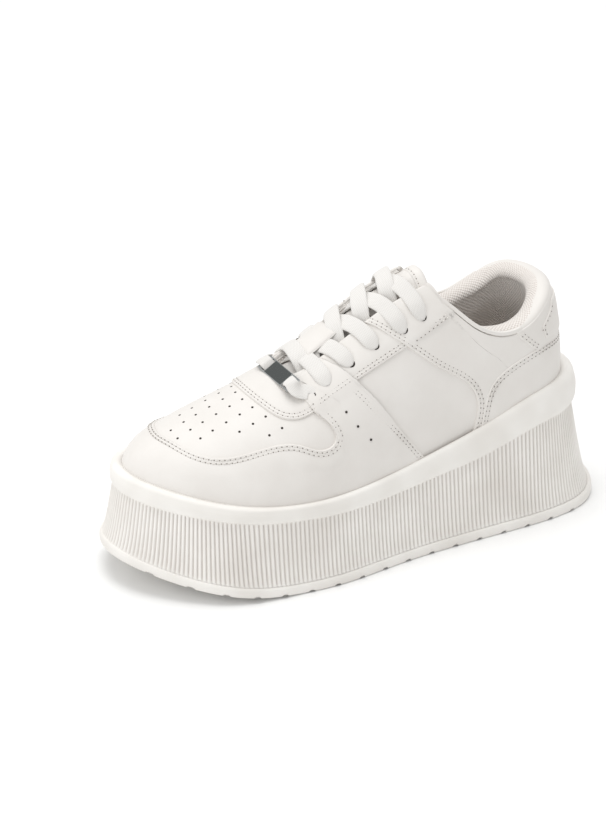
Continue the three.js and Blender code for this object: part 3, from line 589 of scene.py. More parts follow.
def respaced(chart, near, count, axis):
    # moves a chart grid's lines along one axis to those distances over the skin
    chart = np.moveaxis(chart, axis, 0)
    along = lengths(skinPoint(chart[..., 0], chart[..., 1]), 0)
    index = np.arange(len(chart))
    made = []
    for column in range(chart.shape[1]):
        rows = spacedRows(along[-1, column], near, count)
        place = np.interp(rows, along[:, column], index)
        made.append(np.stack([np.interp(place, index, chart[:, column, k]) for k in (0, 1)], -1))
    return np.moveaxis(np.stack(made, 1), 0, axis)


def evenly(chart, count):
    # a chart line as count points at even lengths over the skin
    chart = np.asarray(chart, float)
    along = lengths(skinPoint(chart[:, 0], chart[:, 1]), 0)
    place = np.linspace(0, along[-1], count)
    return np.stack([np.interp(place, along, chart[:, k]) for k in (0, 1)], -1)


def flowing(chart, count=240):
    # a smooth chart line through a few points, by their running length over the skin
    chart = np.asarray(chart, float)
    along = lengths(skinPoint(chart[:, 0], chart[:, 1]), 0)
    t = np.linspace(0, along[-1], count * 3)
    fine = np.stack([curveThrough(along, chart[:, k])(t) for k in (0, 1)], -1)
    return evenly(fine, count)


def coons(south, north, west=None, east=None, rows=90, columns=240):
    # bilinearly blended patch between four chart lines; south and north run the same way
    south = south if len(south) == columns else evenly(south, columns)
    north = evenly(north, columns)
    t = np.linspace(0, 1, rows)[:, None, None]
    s = np.linspace(0, 1, columns)[None, :, None]
    west = evenly([south[0], north[0]] if west is None else west, rows)[:, None]
    east = evenly([south[-1], north[-1]] if east is None else east, rows)[:, None]
    corners = ((1 - s) * (1 - t) * south[0] + s * (1 - t) * south[-1] + (1 - s) * t * north[0]
               + s * t * north[-1])
    return (1 - t) * south[None] + t * north[None] + (1 - s) * west + s * east - corners


# millimetres in from a panel's border at which its grid has lines
nearRows = [0, 0.05, 0.14, 0.28, 0.48, 0.75, 1.05, 1.3, 1.5, 1.72, 2.1, 2.6, 3.0, 3.3, 3.6, 4.1, 5.0, 6.6,
            8.5]
stitch = {"first": 1.5, "second": 3.3, "pitch": 2.8, "long": 2.1, "wide": 0.6, "sunk": 0.1, "sunkWide": 0.45,
          "puff": 0.25, "hole": 0.34}
stitchPaths = []


def besideLine(chart, away):
    # a chart line moved sideways over the skin, to its left as seen from outside
    chart = np.asarray(chart, float)
    flat = skinPoint(chart[:, 0], chart[:, 1])
    tangent = np.gradient(flat, axis=0)
    normal = skinNormal(chart[:, 0], chart[:, 1])
    left = np.cross(normal, tangent)
    left /= np.maximum(np.linalg.norm(left, axis=-1, keepdims=True), 1e-9)
    byStation = (skinPoint(chart[:, 0] + 0.3, chart[:, 1]) - skinPoint(chart[:, 0] - 0.3, chart[:, 1])) / 0.6
    byDrop = (skinPoint(chart[:, 0], chart[:, 1] + 0.01) - skinPoint(chart[:, 0], chart[:, 1] - 0.01)) / 0.02
    ss, sd, dd = (np.sum(p * q, -1) for p,
                  q in ((byStation, byStation), (byStation, byDrop), (byDrop, byDrop)))
    ls, ld = np.sum(left * byStation, -1) * away, np.sum(left * byDrop, -1) * away
    det = np.maximum(ss * dd - sd * sd, 1e-6)
    return chart + np.stack([(dd * ls - sd * ld) / det, (ss * ld - sd * ls) / det], -1)


def sew(line, lift, away=(1.5, 3.3), start=2.0, end=2.0):
    # rows of stitches beside a chart line, kept for one mesh at the end
    for distance in away:
        chart = evenly(besideLine(line, distance), 400)
        height = lift(chart[:, 0], chart[:, 1]) if callable(lift) else lift
        path = overSkin(chart[:, 0], chart[:, 1], height + 0 * chart[:, 0])
        stitchPaths.append((path, skinNormal(chart[:, 0], chart[:, 1]), start, end))


def makePanel(name, south, north, west=None, east=None, free="", trough="", lift=0.0, thick=1.2, radius=0.7,
              rows=18, columns=150, replaces=(), deep=0.6):
    # a leather panel over the skin between four chart lines: its free edges are rounded down to the
    # skin, and two shallow troughs run beside them for the stitches
    chart = coons(south, north, west, east)
    chart = respaced(chart, nearRows, rows, 0)
    chart = respaced(chart, nearRows, columns, 1)
    station, drop = chart[..., 0], chart[..., 1]
    flat = skinPoint(station, drop)
    up, along = lengths(flat, 0), lengths(flat, 1)
    reach = {"south": up, "north": up[-1:] - up, "west": along, "east": along[:, -1:] - along}
    low = lift(flat, station, drop) if callable(lift) else lift + 0 * station
    away, sewnAway = np.full(station.shape, 99.0), np.full(station.shape, 99.0)
    for side in free.split():
        away = np.minimum(away, reach[side])
    for side in trough.split():
        sewnAway = np.minimum(sewnAway, reach[side])
    height = low + thick * smoothEdges(away, radius)
    for place in (stitch["first"], stitch["second"]):
        height = height - stitch["sunk"] * np.exp(-((sewnAway - place) / stitch["sunkWide"]) ** 2)
    # beyond the stitches the leather puffs up a little, and settles again
    height = height + stitch["puff"] * smoothStep(3.6, 8, sewnAway) * (1 - smoothStep(10, 30, sewnAway))
    height = height + creases(flat)
    normal = skinNormal(station, drop)
    outer = flat + normal * height[..., None]
    inner = flat + normal * (low - deep)[..., None]
    return makeSheet(name, outer, inner, np.stack([along, up], -1), replaces)


def heightLine(rows, side):
    # rows of station and height on one side of the foot, as chart points
    rows = np.asarray(rows, float)
    return np.stack([rows[:, 0], dropAtHeight(rows[:, 0], side, rows[:, 1])], -1)


def seamLine(rows, side):
    # a smooth chart line through such rows
    return flowing(heightLine(rows, side))


# Soft hollows and folds of the worn leather: where, which way they run, and their length, width
# and depth.
folds = [
    ((96, 33, 74), (0.9, -0.4, 0.1), 22, 6, -0.55), ((62, 41, 66), (0.2, 0.2, 1.0), 16, 7, -0.5),
    ((30, 44, 62), (0.5, 0, -0.8), 20, 8, -0.5), ((-2, 41, 66), (0.7, 0, -0.7), 18, 9, -0.55),
    ((-34, 38, 74), (0.4, 0, 0.9), 20, 9, -0.6), ((-74, 35, 78), (0.8, 0, 0.5), 18, 7, -0.5),
    ((70, 10, 92), (0.1, 1, 0), 20, 4, -0.35), ((78, -8, 88), (0.05, 1, 0), 24, 4, -0.35),
    ((-62, -34, 80), (0.6, 0, 0.8), 18, 8, -0.6), ((-10, -36, 84), (0.7, 0, -0.7), 20, 9, -0.55),
    ((52, -42, 70), (0.3, 0, 0.9), 16, 8, -0.5), ((104, -30, 72), (0.8, 0.5, 0.1), 20, 7, -0.5),
    ((-104, 30, 92), (0.2, 0.1, 1), 14, 7, -0.45), ((118, 2, 76), (0.1, 1, 0), 22, 5, -0.4),
]


def creases(points):
    # a sum of long bell-shaped hollows, deepest in the middle of each
    total = np.zeros(points.shape[:-1])
    for centre, way, long, wide, depth in folds:
        way = np.array(way, float) / np.linalg.norm(way)
        off = points - np.array(centre, float)
        along = off @ way
        across2 = np.maximum(np.sum(off * off, -1) - along ** 2, 0)
        total = total + depth * np.exp(-(along / long) ** 2 - across2 / wide ** 2)
    return total


def aroundSole(count):
    # stations and sides of points at even lengths round the sole's edge, from the back by the outer side
    station = np.linspace(backStation, tipStation, 3000)
    loopStation = np.r_[station, station[::-1][1:-1]]
    loopSide = np.r_[np.ones(len(station)), -np.ones(len(station) - 2)]
    x, y = edge(sole, loopStation, loopSide)
    closed = np.stack([np.r_[x, x[:1]], np.r_[y, y[:1]]], -1)
    along = lengths(closed, 0)
    place = np.linspace(0, along[-1], count, endpoint=False)
    turn = np.interp(place, along, np.arange(len(closed)))
    unrolled = np.r_[loopStation[:len(station)], 2 * tipStation - loopStation[len(station):],
                     2 * tipStation - backStation]
    where = np.interp(turn, np.arange(len(closed)), unrolled)
    side = np.where(where <= tipStation, 1.0, -1.0)
    return np.where(side > 0, where, 2 * tipStation - where), side, place, along[-1]


midsole = {"ribs": 268, "perRib": 8, "depth": 1.0, "sharp": 3.0, "gap": 0.12}
ribWall = [(0, 0.11), (0.1, 0.19), (0.3, 0.31), (0.6, 0.447), (1, 0.62)]
lipWall = [(-0.02, 0.6), (0.06, 0.545), (0.3, 0.5), (0.55, 0.505), (0.8, 0.56), (0.94, 0.645), (1, 0.76)]


def makeMidsole():
    # rings up the platform's wall: each is a share of the way from the sole's edge in to the last's,
    # and rounded ribs stand on the wall, all the same width round the sole
    count = midsole["ribs"] * midsole["perRib"]
    station, side, place, total = aroundSole(count)
    fromX, fromY = edge(sole, station, side)
    toX, toY = edge(last, station, side)
    lip, band = lipOf(toX), bandOf(toX)
    phase = np.cos(2 * np.pi * place / total * midsole["ribs"])
    groove = (0.5 - 0.5 * phase) ** midsole["sharp"]
    gapOut = np.hypot(toX - fromX, toY - fromY)
    ribUps = np.array([0, 0.02, 0.05, 0.1, 0.18, 0.3, 0.45, 0.6, 0.75, 0.86, 0.93, 0.965, 0.985, 1.0])
    inwardRib = curveThrough(*zip(*ribWall))
    inwardLip = curveThrough(*zip(*lipWall))
    rings, grooveDepth = [], []

    def ring(inward, z):
        x, y = fromX + (toX - fromX) * inward, fromY + (toY - fromY) * inward
        rings.append(np.stack([x, y, np.broadcast_to(z, x.shape)], -1))

    def bottomAt(inward):
        return underside(fromX + (toX - fromX) * inward) + shoe["outsole"] + midsole["gap"]

    for share in (0.0, 0.5):
        y = (spineY(np.clip(toX, -100, 125)) * (1 - share)) + share * (fromY * 0.5 + toY * 0.5)
        rings.append(np.stack([toX * (0.97 + 0.02 * share), y, bottomAt(1.0) + 0.2], -1))
    ring(0.3, bottomAt(0.3) - 0.1)
    for up in ribUps:
        fade = smoothStep(0, 0.03, up) * (1 - smoothStep(0.97, 1.0, up))
        grooveDepth.append(fade * groove)
        low = bottomAt(float(inwardRib(up)))
        ring(inwardRib(up) + groove * midsole["depth"] * fade / gapOut, low + (lip - band - low) * up)
    for up in (0.01, 0.03, 0.06, 0.1, 0.16, 0.24, 0.34, 0.45, 0.56, 0.67, 0.76, 0.84, 0.9, 0.94, 0.97, 0.99,
               1.0):
        ring(inwardLip(up), lip - band * (1 - up))
    for depth, out in ((0.1, 1.35), (0.6, 1.25), (1.5, 1.2), (4, 0.5), (8, 0.5)):
        at = np.minimum(station, stationReaching(shoe["lipDepth"] - depth))
        sideX = edge(last, at, side)[0]
        height = lipOf(sideX) - depth
        point = skinPoint(at, dropAtHeight(at, side, height))
        heel, toe = heelTurn(at), toeTurn(at)
        outward = np.stack([np.sin(toe) - np.sin(heel), side * np.cos(toe) * np.cos(heel)], -1)
        rings.append(np.stack([point[:, 0] + out * outward[:, 0], point[:, 1] + out * outward[:, 1], height],
                              -1))
    floorZ = lip - shoe["lipDepth"]
    rings.append(np.stack([toX, toY, floorZ], -1))
    rings.append(np.stack([toX, spineY(np.clip(toX, -100, 125)) + 0 * toY, floorZ], -1))
    points = np.stack(rings)
    faces = gridFaces(len(rings), count, closeColumns=True)
    # the map's X is 0 on a rib and 1 in the bottom of a groove, where painted shade makes the rubber a little
    # darker
    deep = np.zeros(points.shape[:2])
    deep[3:3 + len(grooveDepth)] = np.stack(grooveDepth)
    makePiece("sole_platform", points, faces, ribbedRubber,
              uv=np.stack([deep, 0 * deep + 0.5], -1),
              merge=0.01, replaces=("midsole",))


def stationReaching(height):
    # the foremost station whose crest stands this high above the bed
    stations = np.arange(shoe["toeStart"], tipStation, 0.05)
    return stations[np.nonzero(section(stations, 1.0)[3] >= height)[0][-1]]


tread = {"first": 134, "pitch": 15.6, "count": 17, "mouth": 3.6, "depth": 3.0, "top": 2.1, "columns": 1500}


def makeOutsole():
    # a slab whose underside has straight cross grooves: every column of its grid keeps its x
    station, side, _, _ = aroundSole(tread["columns"])
    x, y = edge(sole, station, side)
    middle = (sole.y(x, 1) + sole.y(x, -1)) / 2
    off = np.min(np.abs(x[None] - (tread["first"] - tread["pitch"] * np.arange(tread["count"]))[:, None]),
                 axis=0)
    run = (tread["mouth"] - tread["top"]) / 2
    cut = tread["depth"] * np.clip((tread["mouth"] / 2 - off) / run, 0, 1)
    rings = []

    def ring(inset, z, shrink=None):
        share = 1 - 2 * inset / shoe["ballWidth"] if shrink is None else shrink
        rings.append(np.stack([x * (1 - inset / 150), middle + (y - middle) * share, z + 0 * x], -1))

    base = underside(x)
    for shrink in (0.0, 0.25, 0.5, 0.75, 0.9):
        ring(1.4, base + cut, shrink)
    for inset, up, part in ((1.4, 0.0, 1), (1.0, 0.08, 1), (0.55, 0.35, 0.85), (0.2, 0.8, 0.65),
                            (0.05, 1.3, 0.4),
                            (0, 2.2, 0), (0.0, 3.2, 0), (0.08, 4.2, 0), (0.25, 4.9, 0), (0.6, 5.5, 0),
                            (1.1, 5.85, 0),
                            (1.8, 6.0, 0)):
        ring(inset, base + np.maximum(up, cut * part if part else 0))
    for shrink in (0.8, 0.0):
        ring(1.8, base + shoe["outsole"], shrink)
    makePiece("tread_slab", np.stack(rings), gridFaces(len(rings), len(x), closeColumns=True), rubber,
              merge=0.01, replaces=("outsole",))


def makeInsole():
    # a dished footbed: rings from its rounded rim in to the spine
    station, side, _, _ = aroundSole(420)
    toX, toY = edge(last, station, side)
    heel, toe = heelTurn(station), toeTurn(station)
    outX, outY = np.sin(toe) - np.sin(heel), side * np.cos(toe) * np.cos(heel)
    bed = lipOf(toX) - shoe["lipDepth"]
    rings = []

    def ring(inset, z, share=1.0):
        px, py = toX - outX * inset, toY - outY * inset
        middle = spineY(np.clip(px, -100, 120))
        rings.append(np.stack([px, middle + (py - middle) * share, z], -1))

    for share in (0.0, 0.6):
        ring(4.4, bed + 0.4, share)
    for inset, up in ((4.4, 0.4), (3.8, 1.2), (3.9, 3.2), (4.4, 4.0), (5.6, 4.4)):
        ring(inset, bed + up)
    for share in (0.85, 0.6, 0.3, 0.0):
        ring(5.6, bed + 4.4 - 0.5 * (1 - share), share)
    points = np.stack(rings)
    uv = points[..., :2] * 0.001
    makePiece("footbed", points, gridFaces(len(rings), len(station), closeColumns=True), lining,
              uv=uv,
              merge=0.01, replaces=("insole",))


makeMidsole()
makeOutsole()
makeInsole()
print("sole done")


shell = {"rows": 46, "leatherWall": 1.4, "rimDrop": 0.7}


def makeShell():
    # the leather wall from the bed up to the opening, both sides joined on the crest before the throat
    stations = np.r_[np.linspace(backStation, 30, 130), np.linspace(30, 52, 40)[1:],
                     np.linspace(52, tipStation, 70)[1:]]
    up = np.linspace(0, 1, shell["rows"])[None, :]
    points, faces, base = [], [], 0
    for side in (1.0, -1.0):
        at = stations[:, None]
        bed = section(at, side)[2]
        low = np.abs(dropAtHeight(at, side, bed + 0.5))
        high = np.abs(openingDrop(at, side))
        drop = side * (low + (high - low) * up)
        rim = smoothEdges((1 - up) * (low - high) * 75, 1.0)
        rim = np.where(high < 1e-6, 1.0, rim)
        outer = overSkin(at + 0 * up, drop, -shell["rimDrop"] * (1 - rim))
        inner = overSkin(at + 0 * up, drop, -shell["leatherWall"] + 0 * drop)
        block = np.concatenate([outer, inner[:, ::-1]], axis=1)
        rows, columns = block.shape[:2]
        made = gridFaces(rows, columns, base, closeColumns=True)
        joined = (high[:-1, 0] < 1e-6) & (high[1:, 0] < 1e-6)
        crest = shell["rows"] - 1
        keep = np.ones((rows - 1, columns), bool)
        keep[joined, crest] = False
        faces.append(made[keep.ravel()] if side > 0 else made[keep.ravel()][:, ::-1])
        points.append(block.reshape(-1, 3))
        base += rows * columns
    makePiece("upper_shell", np.concatenate(points), np.concatenate(faces), leather, merge=0.02,
              replaces=("upper",))


makeShell()


# Seams by station and height above the ground, the same on both sides of the foot.
seams = {
    "inner toe": [(32.6, 79.0), (34.5, 75.6), (38.5, 73.9), (44, 74.2), (54, 78), (61, 78.9), (75, 77.4),
                  (87, 75.4),
                  (99, 75.0), (107.5, 76.9)],
    "toe front": 115.2,
    "lobe": [(44, 90.5), (41, 91.0), (37.2, 88.0), (34.0, 83.6), (32.6, 79.0)],
    "eyestay": [(-46, 128.9), (-41.4, 126.8), (-16.6, 115.8), (1.3, 108.7), (18.5, 101.4), (30, 96.2),
                (41, 91.2),
                (50.6, 88.6), (58, 89.4)],
    "eyestay front": 67.5,
    "forefoot": [(-23.5, 51.5), (-21.9, 53.6), (-7.7, 72.3), (6, 88.4), (17.3, 102)],
    "quarter": [(-51.5, 55.0), (-53, 61.3), (-55.7, 78.3), (-51.6, 87.8), (-34, 101.5), (-16.6, 115.6),
                (-6.4, 123)],
    "counter": [(-56.4, 55.0), (-57.4, 62.6), (-60, 75.6), (-65, 86.6), (-77, 94.7), (-90, 99), (-106, 101),
                (-143.8, 101.5)],
    "heel side": [(-80.5, 112.4), (-81.5, 110.5), (-86, 105.7), (-95, 98.6), (-104, 97), (-143.8, 97)],
    "tab": [(-100.7, 103.8), (-97.5, 111), (-102, 114.5), (-107.3, 118.4), (-111, 122.6)],
}
lipTuck = 2.6  # how far panels go down behind the sole's lip


def toeLip(start, side, below=lipTuck):
    # the hidden line behind the lip, from a station on one side to the front, where it meets the crest
    front = stationReaching(shoe["lipDepth"] - below)
    station = start + (front - start) * np.sin(np.linspace(0, np.pi / 2, 500))
    height = lipOf(section(station, side)[0]) - below
    return np.stack([station, dropAtHeight(station, side, height)], -1)


def heelLine(start, side, height):
    # a line at heights given by station, from a station on one side back to the heel's seam
    station = np.linspace(start, backStation, 500)
    rise = height(station, side) if callable(height) else height + 0 * station
    return np.stack([station, np.abs(dropAtHeight(station, side, rise))], -1)


def pastBack(line):
    # an inner side's line as stations that run on past the back seam
    return np.stack([2 * backStation - line[:, 0], -line[:, 1]], -1)


def roundHeel(outer, inner):
    # joins two lines at the back seam: past it, stations run on and stand for the inner side
    inner = inner[::-1].copy()
    inner[:, 0] = 2 * backStation - inner[:, 0]
    return np.concatenate([outer, inner[1:]])


def lipHeightAt(station, side):
    return lipOf(section(station, side)[0]) - lipTuck


def rimLine(start, side, inset=0.0):
    # along the opening's edge from a station back to the heel's seam, and inset millimetres below it
    station = np.linspace(start, backStation, 500)
    return np.stack([station, np.abs(openingDrop(station, side)) + inset / 78], -1)


def heightOver(rows):
    # a seam's height by station, straight beyond its ends
    return column(sorted(rows), 1)


# The throat that the panel reaches, where it starts behind the lip, and for each corner of its seam
# the station of the lip that faces it without crossing the lobe.
forefoot = {"throat": (27.5, 48.5), "start": -23.5, "throatFacing": (-15, -4),
            "facing": [((41, 91.0), 1), ((32.6, 79.0), 19), ((44, 74.2), 37), ((61, 78.9), 60),
                       ((87, 75.4), 98)],
            "seamLift": 1.18, "sideLift": 1.15, "drape": 0.95, "columns": 240, "fine": 2400}


def makeForefoot():
    # round the toe and back along both sides, in one piece, with a lobe behind the vamp
    outer, inner = (heightLine(seams["inner toe"], side) for side in (1.0, -1.0))
    front = [(113.3, outer[-1, 1] * 0.45), (seams["toe front"], 0), (113.3, inner[-1, 1] * 0.45)]
    toe = np.concatenate([outer, front, inner[::-1]])

    def upper(side):
        # up before the third eyelet to the throat, along it, and down again before the first
        corner = seamLine(seams["forefoot"], side)[-1]
        high = np.linspace(*forefoot["throat"], 80)
        throat = np.stack([high, openingDrop(high, side) + side * np.linspace(0.008, 0.05, 80)], -1)
        lobe = seamLine(seams["lobe"][1:], side)
        back = flowing([corner, (corner + throat[0]) / 2 + (0.5, side * 0.004), throat[0]], 90)
        front = flowing([throat[-1], (lobe[0] + throat[-1]) / 2 + (0.6, 0), lobe[0]], 90)
        return np.concatenate([back[:-1], throat[:-1], front[:-1], lobe])

    north = np.concatenate([upper(1.0), flowing(toe, 700)[1:-1], upper(-1.0)[::-1]])
    south = np.concatenate([toeLip(forefoot["start"], 1.0), toeLip(forefoot["start"], -1.0)[::-1][1:]])
    west, east = (seamLine(seams["forefoot"], side) for side in (1.0, -1.0))
    west[0], east[0] = south[0], south[-1]
    west[-1], east[-1] = north[0], north[-1]

    columns, fine = forefoot["columns"], forefoot["fine"]
    top, whole = evenly(north, columns), evenly(south, fine)
    marks = [(0, 0)]
    for side in (1.0, -1.0):
        corners = [((at, float(openingDrop(at, side))), facing)
                   for at, facing in zip(forefoot["throat"], forefoot["throatFacing"])]
        corners += [(heightLine([row], side)[0], facing) for row, facing in forefoot["facing"]]
        found = []
        for (at, drop), facing in corners:
            apart = np.hypot(top[:, 0] - at, (top[:, 1] - drop) * 60)
            below = np.abs(whole[:, 0] - facing) + 1000 * (whole[:, 1] * side < 0)
            found.append((int(np.argmin(apart)), int(np.argmin(below))))
        marks += found if side > 0 else [((columns - 1) / 2, (fine - 1) / 2)] + found[::-1]
    marks.append((columns - 1, fine - 1))
    pick = np.interp(np.arange(columns), *zip(*marks))
    south = np.stack([np.interp(pick, np.arange(fine), whole[:, k]) for k in (0, 1)], -1)

    def drape(flat, station, drop):
        # lies on the eyestay's edge where it meets it
        line = heightOver(seams["eyestay"])(station)
        return forefoot["drape"] * smoothStep(-3.5, 0.5, flat[..., 2] - line) * smoothStep(56, 53, station)

    makePanel("forefoot_panel", south, north, west, east, free="north west east", trough="north west east",
              lift=drape, columns=230, rows=22, replaces=("toe_overlay",))
    joined = np.concatenate([seamLine(seams["lobe"], 1.0)[:-1], flowing(toe, 700)[:-1],
                             seamLine(seams["lobe"], -1.0)[::-1]])
    sew(evenly(joined, 900), forefoot["seamLift"])
    sew(evenly(west, 300), forefoot["sideLift"], start=5)
    sew(evenly(east, 300)[::-1], forefoot["sideLift"], start=5)


def makeEyestay():
    # the ring of leather round the throat: its front is rounded and its ends run up to the collar
    outer, inner = (heightLine(seams["eyestay"], side) for side in (1.0, -1.0))
    front = [(64.5, outer[-1, 1] * 0.62), (seams["eyestay front"], 0), (64.5, inner[-1, 1] * 0.62)]
    south = flowing(np.concatenate([outer, front, inner[::-1]]), 900)

    def throat(side):
        station = -38 + (shoe["throatFront"] + 38) * np.sin(np.linspace(0, np.pi / 2, 500))
        drop = np.abs(openingDrop(station, side))
        inset = 0.4 / 75
        return np.stack([station, side * (drop + inset * (drop > 0.002))], -1)

    north = np.concatenate([throat(1.0), throat(-1.0)[::-1][1:]])
    makePanel("eyestay_panel", south, north, free="south north", trough="south", thick=1.2, columns=230,
              rows=14,
              replaces=("eyestay",))
    sewn = evenly(south, 1400)
    sewn = sewn[sewn[:, 0] > -17]
    sew(sewn[::-1], lambda station,
        drop: 1.15 + 0.98 * smoothStep(16, 18, station) * smoothStep(43, 41, station))


def makeQuarter():
    # from the throat and the front seam back round the heel
    def front(side):
        line = seamLine(seams["quarter"] + [(-3.5, 125.0)], side)
        top = np.array([2.0, float(openingDrop(2.0, side)) + side * 0.005])
        whole = np.concatenate([line[:-6], [top]])
        return flowing(evenly(whole, 24))

    westLine, eastLine = front(1.0), front(-1.0)
    eastLine = pastBack(eastLine)
    south = lipAroundHeel(seams["quarter"][0][0])
    north = roundHeel(*(rimLine(2.0, side, 0.35) for side in (1.0, -1.0)))
    westLine[0], eastLine[0] = south[0], south[-1]
    westLine[-1], eastLine[-1] = north[0], north[-1]

    def drape(flat, station, drop):
        real = np.where(station < backStation, 2 * backStation - station, station)
        line = heightOver(seams["eyestay"])(real)
        return 1.05 * smoothStep(-1.6, 1.2, flat[..., 2] - line) * smoothStep(-52, -44, real)

    makePanel("quarter_panel", south, north, westLine, eastLine, free="west east north", trough="west east",
              lift=drape, thick=1.15, columns=230, rows=40)
    lift = lambda station, drop: 1.1 + 1.0 * smoothStep(-22, -14, station)
    for side in (1.0, -1.0):
        line = evenly(front(side), 400)
        if side > 0:
            line = line[::-1]
        sew(line, lift, start=1.5, end=3)
        run = np.linspace(-19.5, -43, 60)
        height = heightOver(seams["eyestay"])(run)
        through = np.stack([run, dropAtHeight(run, side, height + 1.0)], -1)
        sew(through if side < 0 else through[::-1], lambda station, drop: 2.15 + 0 * station,
            away=(-0.9, 0.9),
            start=1, end=2)


def aroundHeel(rows, count):
    # rows of station and height as one line from the outer side round the back to the inner side
    return roundHeel(*(flowing(heightLine(rows, side) * (1, side), count) for side in (1.0, -1.0)))


def lipAroundHeel(start):
    return roundHeel(*(heelLine(start, side, lipHeightAt) for side in (1.0, -1.0)))


def makeCounter():
    # the low overlay round the heel
    north = aroundHeel(seams["counter"], 500)
    south = lipAroundHeel(seams["counter"][0][0])
    makePanel("heel_counter_panel", south, north, free="north", trough="north", lift=0.9, thick=0.85,
              columns=170,
              rows=20, replaces=("heel_counter",))
    sew(evenly(north, 900)[::-1], 1.7, start=6, end=6)


def makeHeelSide():
    # the upper overlay round the heel, sewn only where the counter's rows don't cover its edge
    south = aroundHeel(seams["heel side"], 400)
    north = roundHeel(*(rimLine(-80, side, -0.2) for side in (1.0, -1.0)))
    makePanel("heel_side_panel", south, north, free="south north", trough="south", lift=0.85, thick=0.8,
              columns=120,
              rows=14)
    line = evenly(south, 700)
    for part in (line[:105], line[-105:]):
        sew(part, 1.6, start=1.5, end=1)


def makeTab():
    # the patch on the heel, with a pointed front on each side
    def front(side):
        line = heightLine(seams["tab"], side)
        return np.concatenate([evenly(line[:2], 40), flowing(line[1:], 80)[1:]])

    west, east = front(1.0), pastBack(front(-1.0))
    south, north = (roundHeel(*(heelLine(corner[0], side, corner[1]) for side in (1.0, -1.0)))
                    for corner in (seams["tab"][0], seams["tab"][-1]))
    makePanel("heel_tab_panel", south, north, west, east, free="south north west east", trough="west east",
              lift=1.4, thick=1.0, columns=80, rows=16, replaces=("heel_tab",))
    for line in (west, east[::-1]):
        sew(evenly(line, 200)[::-1], 2.35, away=(1.4,), start=1, end=2)


collar = {"wall": 2.8, "padding": 8.4, "out": 1.2, "height": 4.6, "thinHeight": 0.9}


def makeCollar():
    # the lining: a padded roll over the rim at the back, thinning to a bound edge along the throat,
    # and the inner wall down to the footbed
    half = np.r_[np.linspace(47.5, -30, 110), np.linspace(-30, backStation, 190)[1:]]
    station = np.r_[half, half[::-1][1:]][:, None]
    side = np.r_[np.ones(len(half)), -np.ones(len(half) - 1)][:, None]
    rim = openingDrop(station, side)
    padded = smoothStep(-44, -78, station)
    full = (collar["wall"] + 1.6 * smoothStep(44, 30, station)
            + (collar["padding"] - 1.6) * smoothStep(-38, -66, station))
    point, normal = skinPoint(station, rim), skinNormal(station, rim)
    above = skinPoint(station, rim * 0.96) - skinPoint(station, rim * 1.04)
    above = above - normal * np.sum(above * normal, -1, keepdims=True)
    above /= np.linalg.norm(above, axis=-1, keepdims=True)
    turn = np.linspace(-0.35, np.pi, 26)[None, :]
    lap = collar["out"] * smoothStep(-74, -88, station)
    reach = (full / 2 + lap)[..., None]
    tall = (collar["thinHeight"] + (collar["height"] - collar["thinHeight"]) * padded)[..., None]
    middle = (point - normal * (full / 2 - 0.25 * padded + 0.5 * (1 - padded))[..., None]
              - above * 0.9 * (1 - padded)[..., None])
    roll = middle + normal * reach * np.cos(turn)[..., None] + above * tall * np.sin(turn)[..., None]
    bed = section(station, side)[2]
    low = np.abs(dropAtHeight(station, side, bed + 3.5))
    part = np.linspace(0, 1, 34)[None, 1:]
    drop = side * (np.abs(rim) + (low - np.abs(rim)) * part)
    thin = full - 0.3 + lap * 0.6 - (full - 3.0) * smoothStep(0.3, 0.95, part)
    flat, outward = skinPoint(station + 0 * part, drop), skinNormal(station + 0 * part, drop)
    wall = flat - outward * thin[..., None]
    hidden = (flat - outward * 1.6)[:, ::-1]
    tuck = point - normal * 1.6
    ring = np.concatenate([roll, wall, hidden, tuck], axis=1)
    along = lengths(ring, 1)
    run = lengths(point, 0)
    uv = np.stack([run + 0 * along, along], -1) * 0.001
    columns = ring.shape[1]
    faces = gridFaces(len(half) * 2 - 1, columns, closeColumns=True)
    # the heel's leather is drawn over the roll's outer half
    limit = 1.45 * smoothStep(-74, -104, station)
    leatherFaces = ((turn < limit) & (station < -70))[:-1]
    faceMaterial = np.zeros((len(half) * 2 - 2, columns), int)
    faceMaterial[:, :turn.shape[1]] = leatherFaces
    piece = makePiece("collar_lining", ring, faces, (lining, leather), uv=uv, merge=0.0,
                      faceMaterial=faceMaterial.reshape(-1))


def makeTopline():
    # a narrow folded edge along each side of the opening, from the eyestay to the padded heel
    for side, end in ((1.0, -84), (-1.0, -92)):
        station = np.linspace(-34, end, 200)
        rim = openingDrop(station, side)
        north = np.stack([station, rim + side * 0.001], -1)
        south = besideLine(north, 2.3 if side > 0 else -2.3)
        name = "topline_outer" if side > 0 else "topline_inner"
        makePanel(name, south, north, free="south", lift=0.35, thick=1.1, radius=0.6, columns=90,
                  rows=6, deep=0.8)


tongue = {"top": -37.5, "front": 61, "thick": 4.6, "under": 4.1, "crown": 1.5}


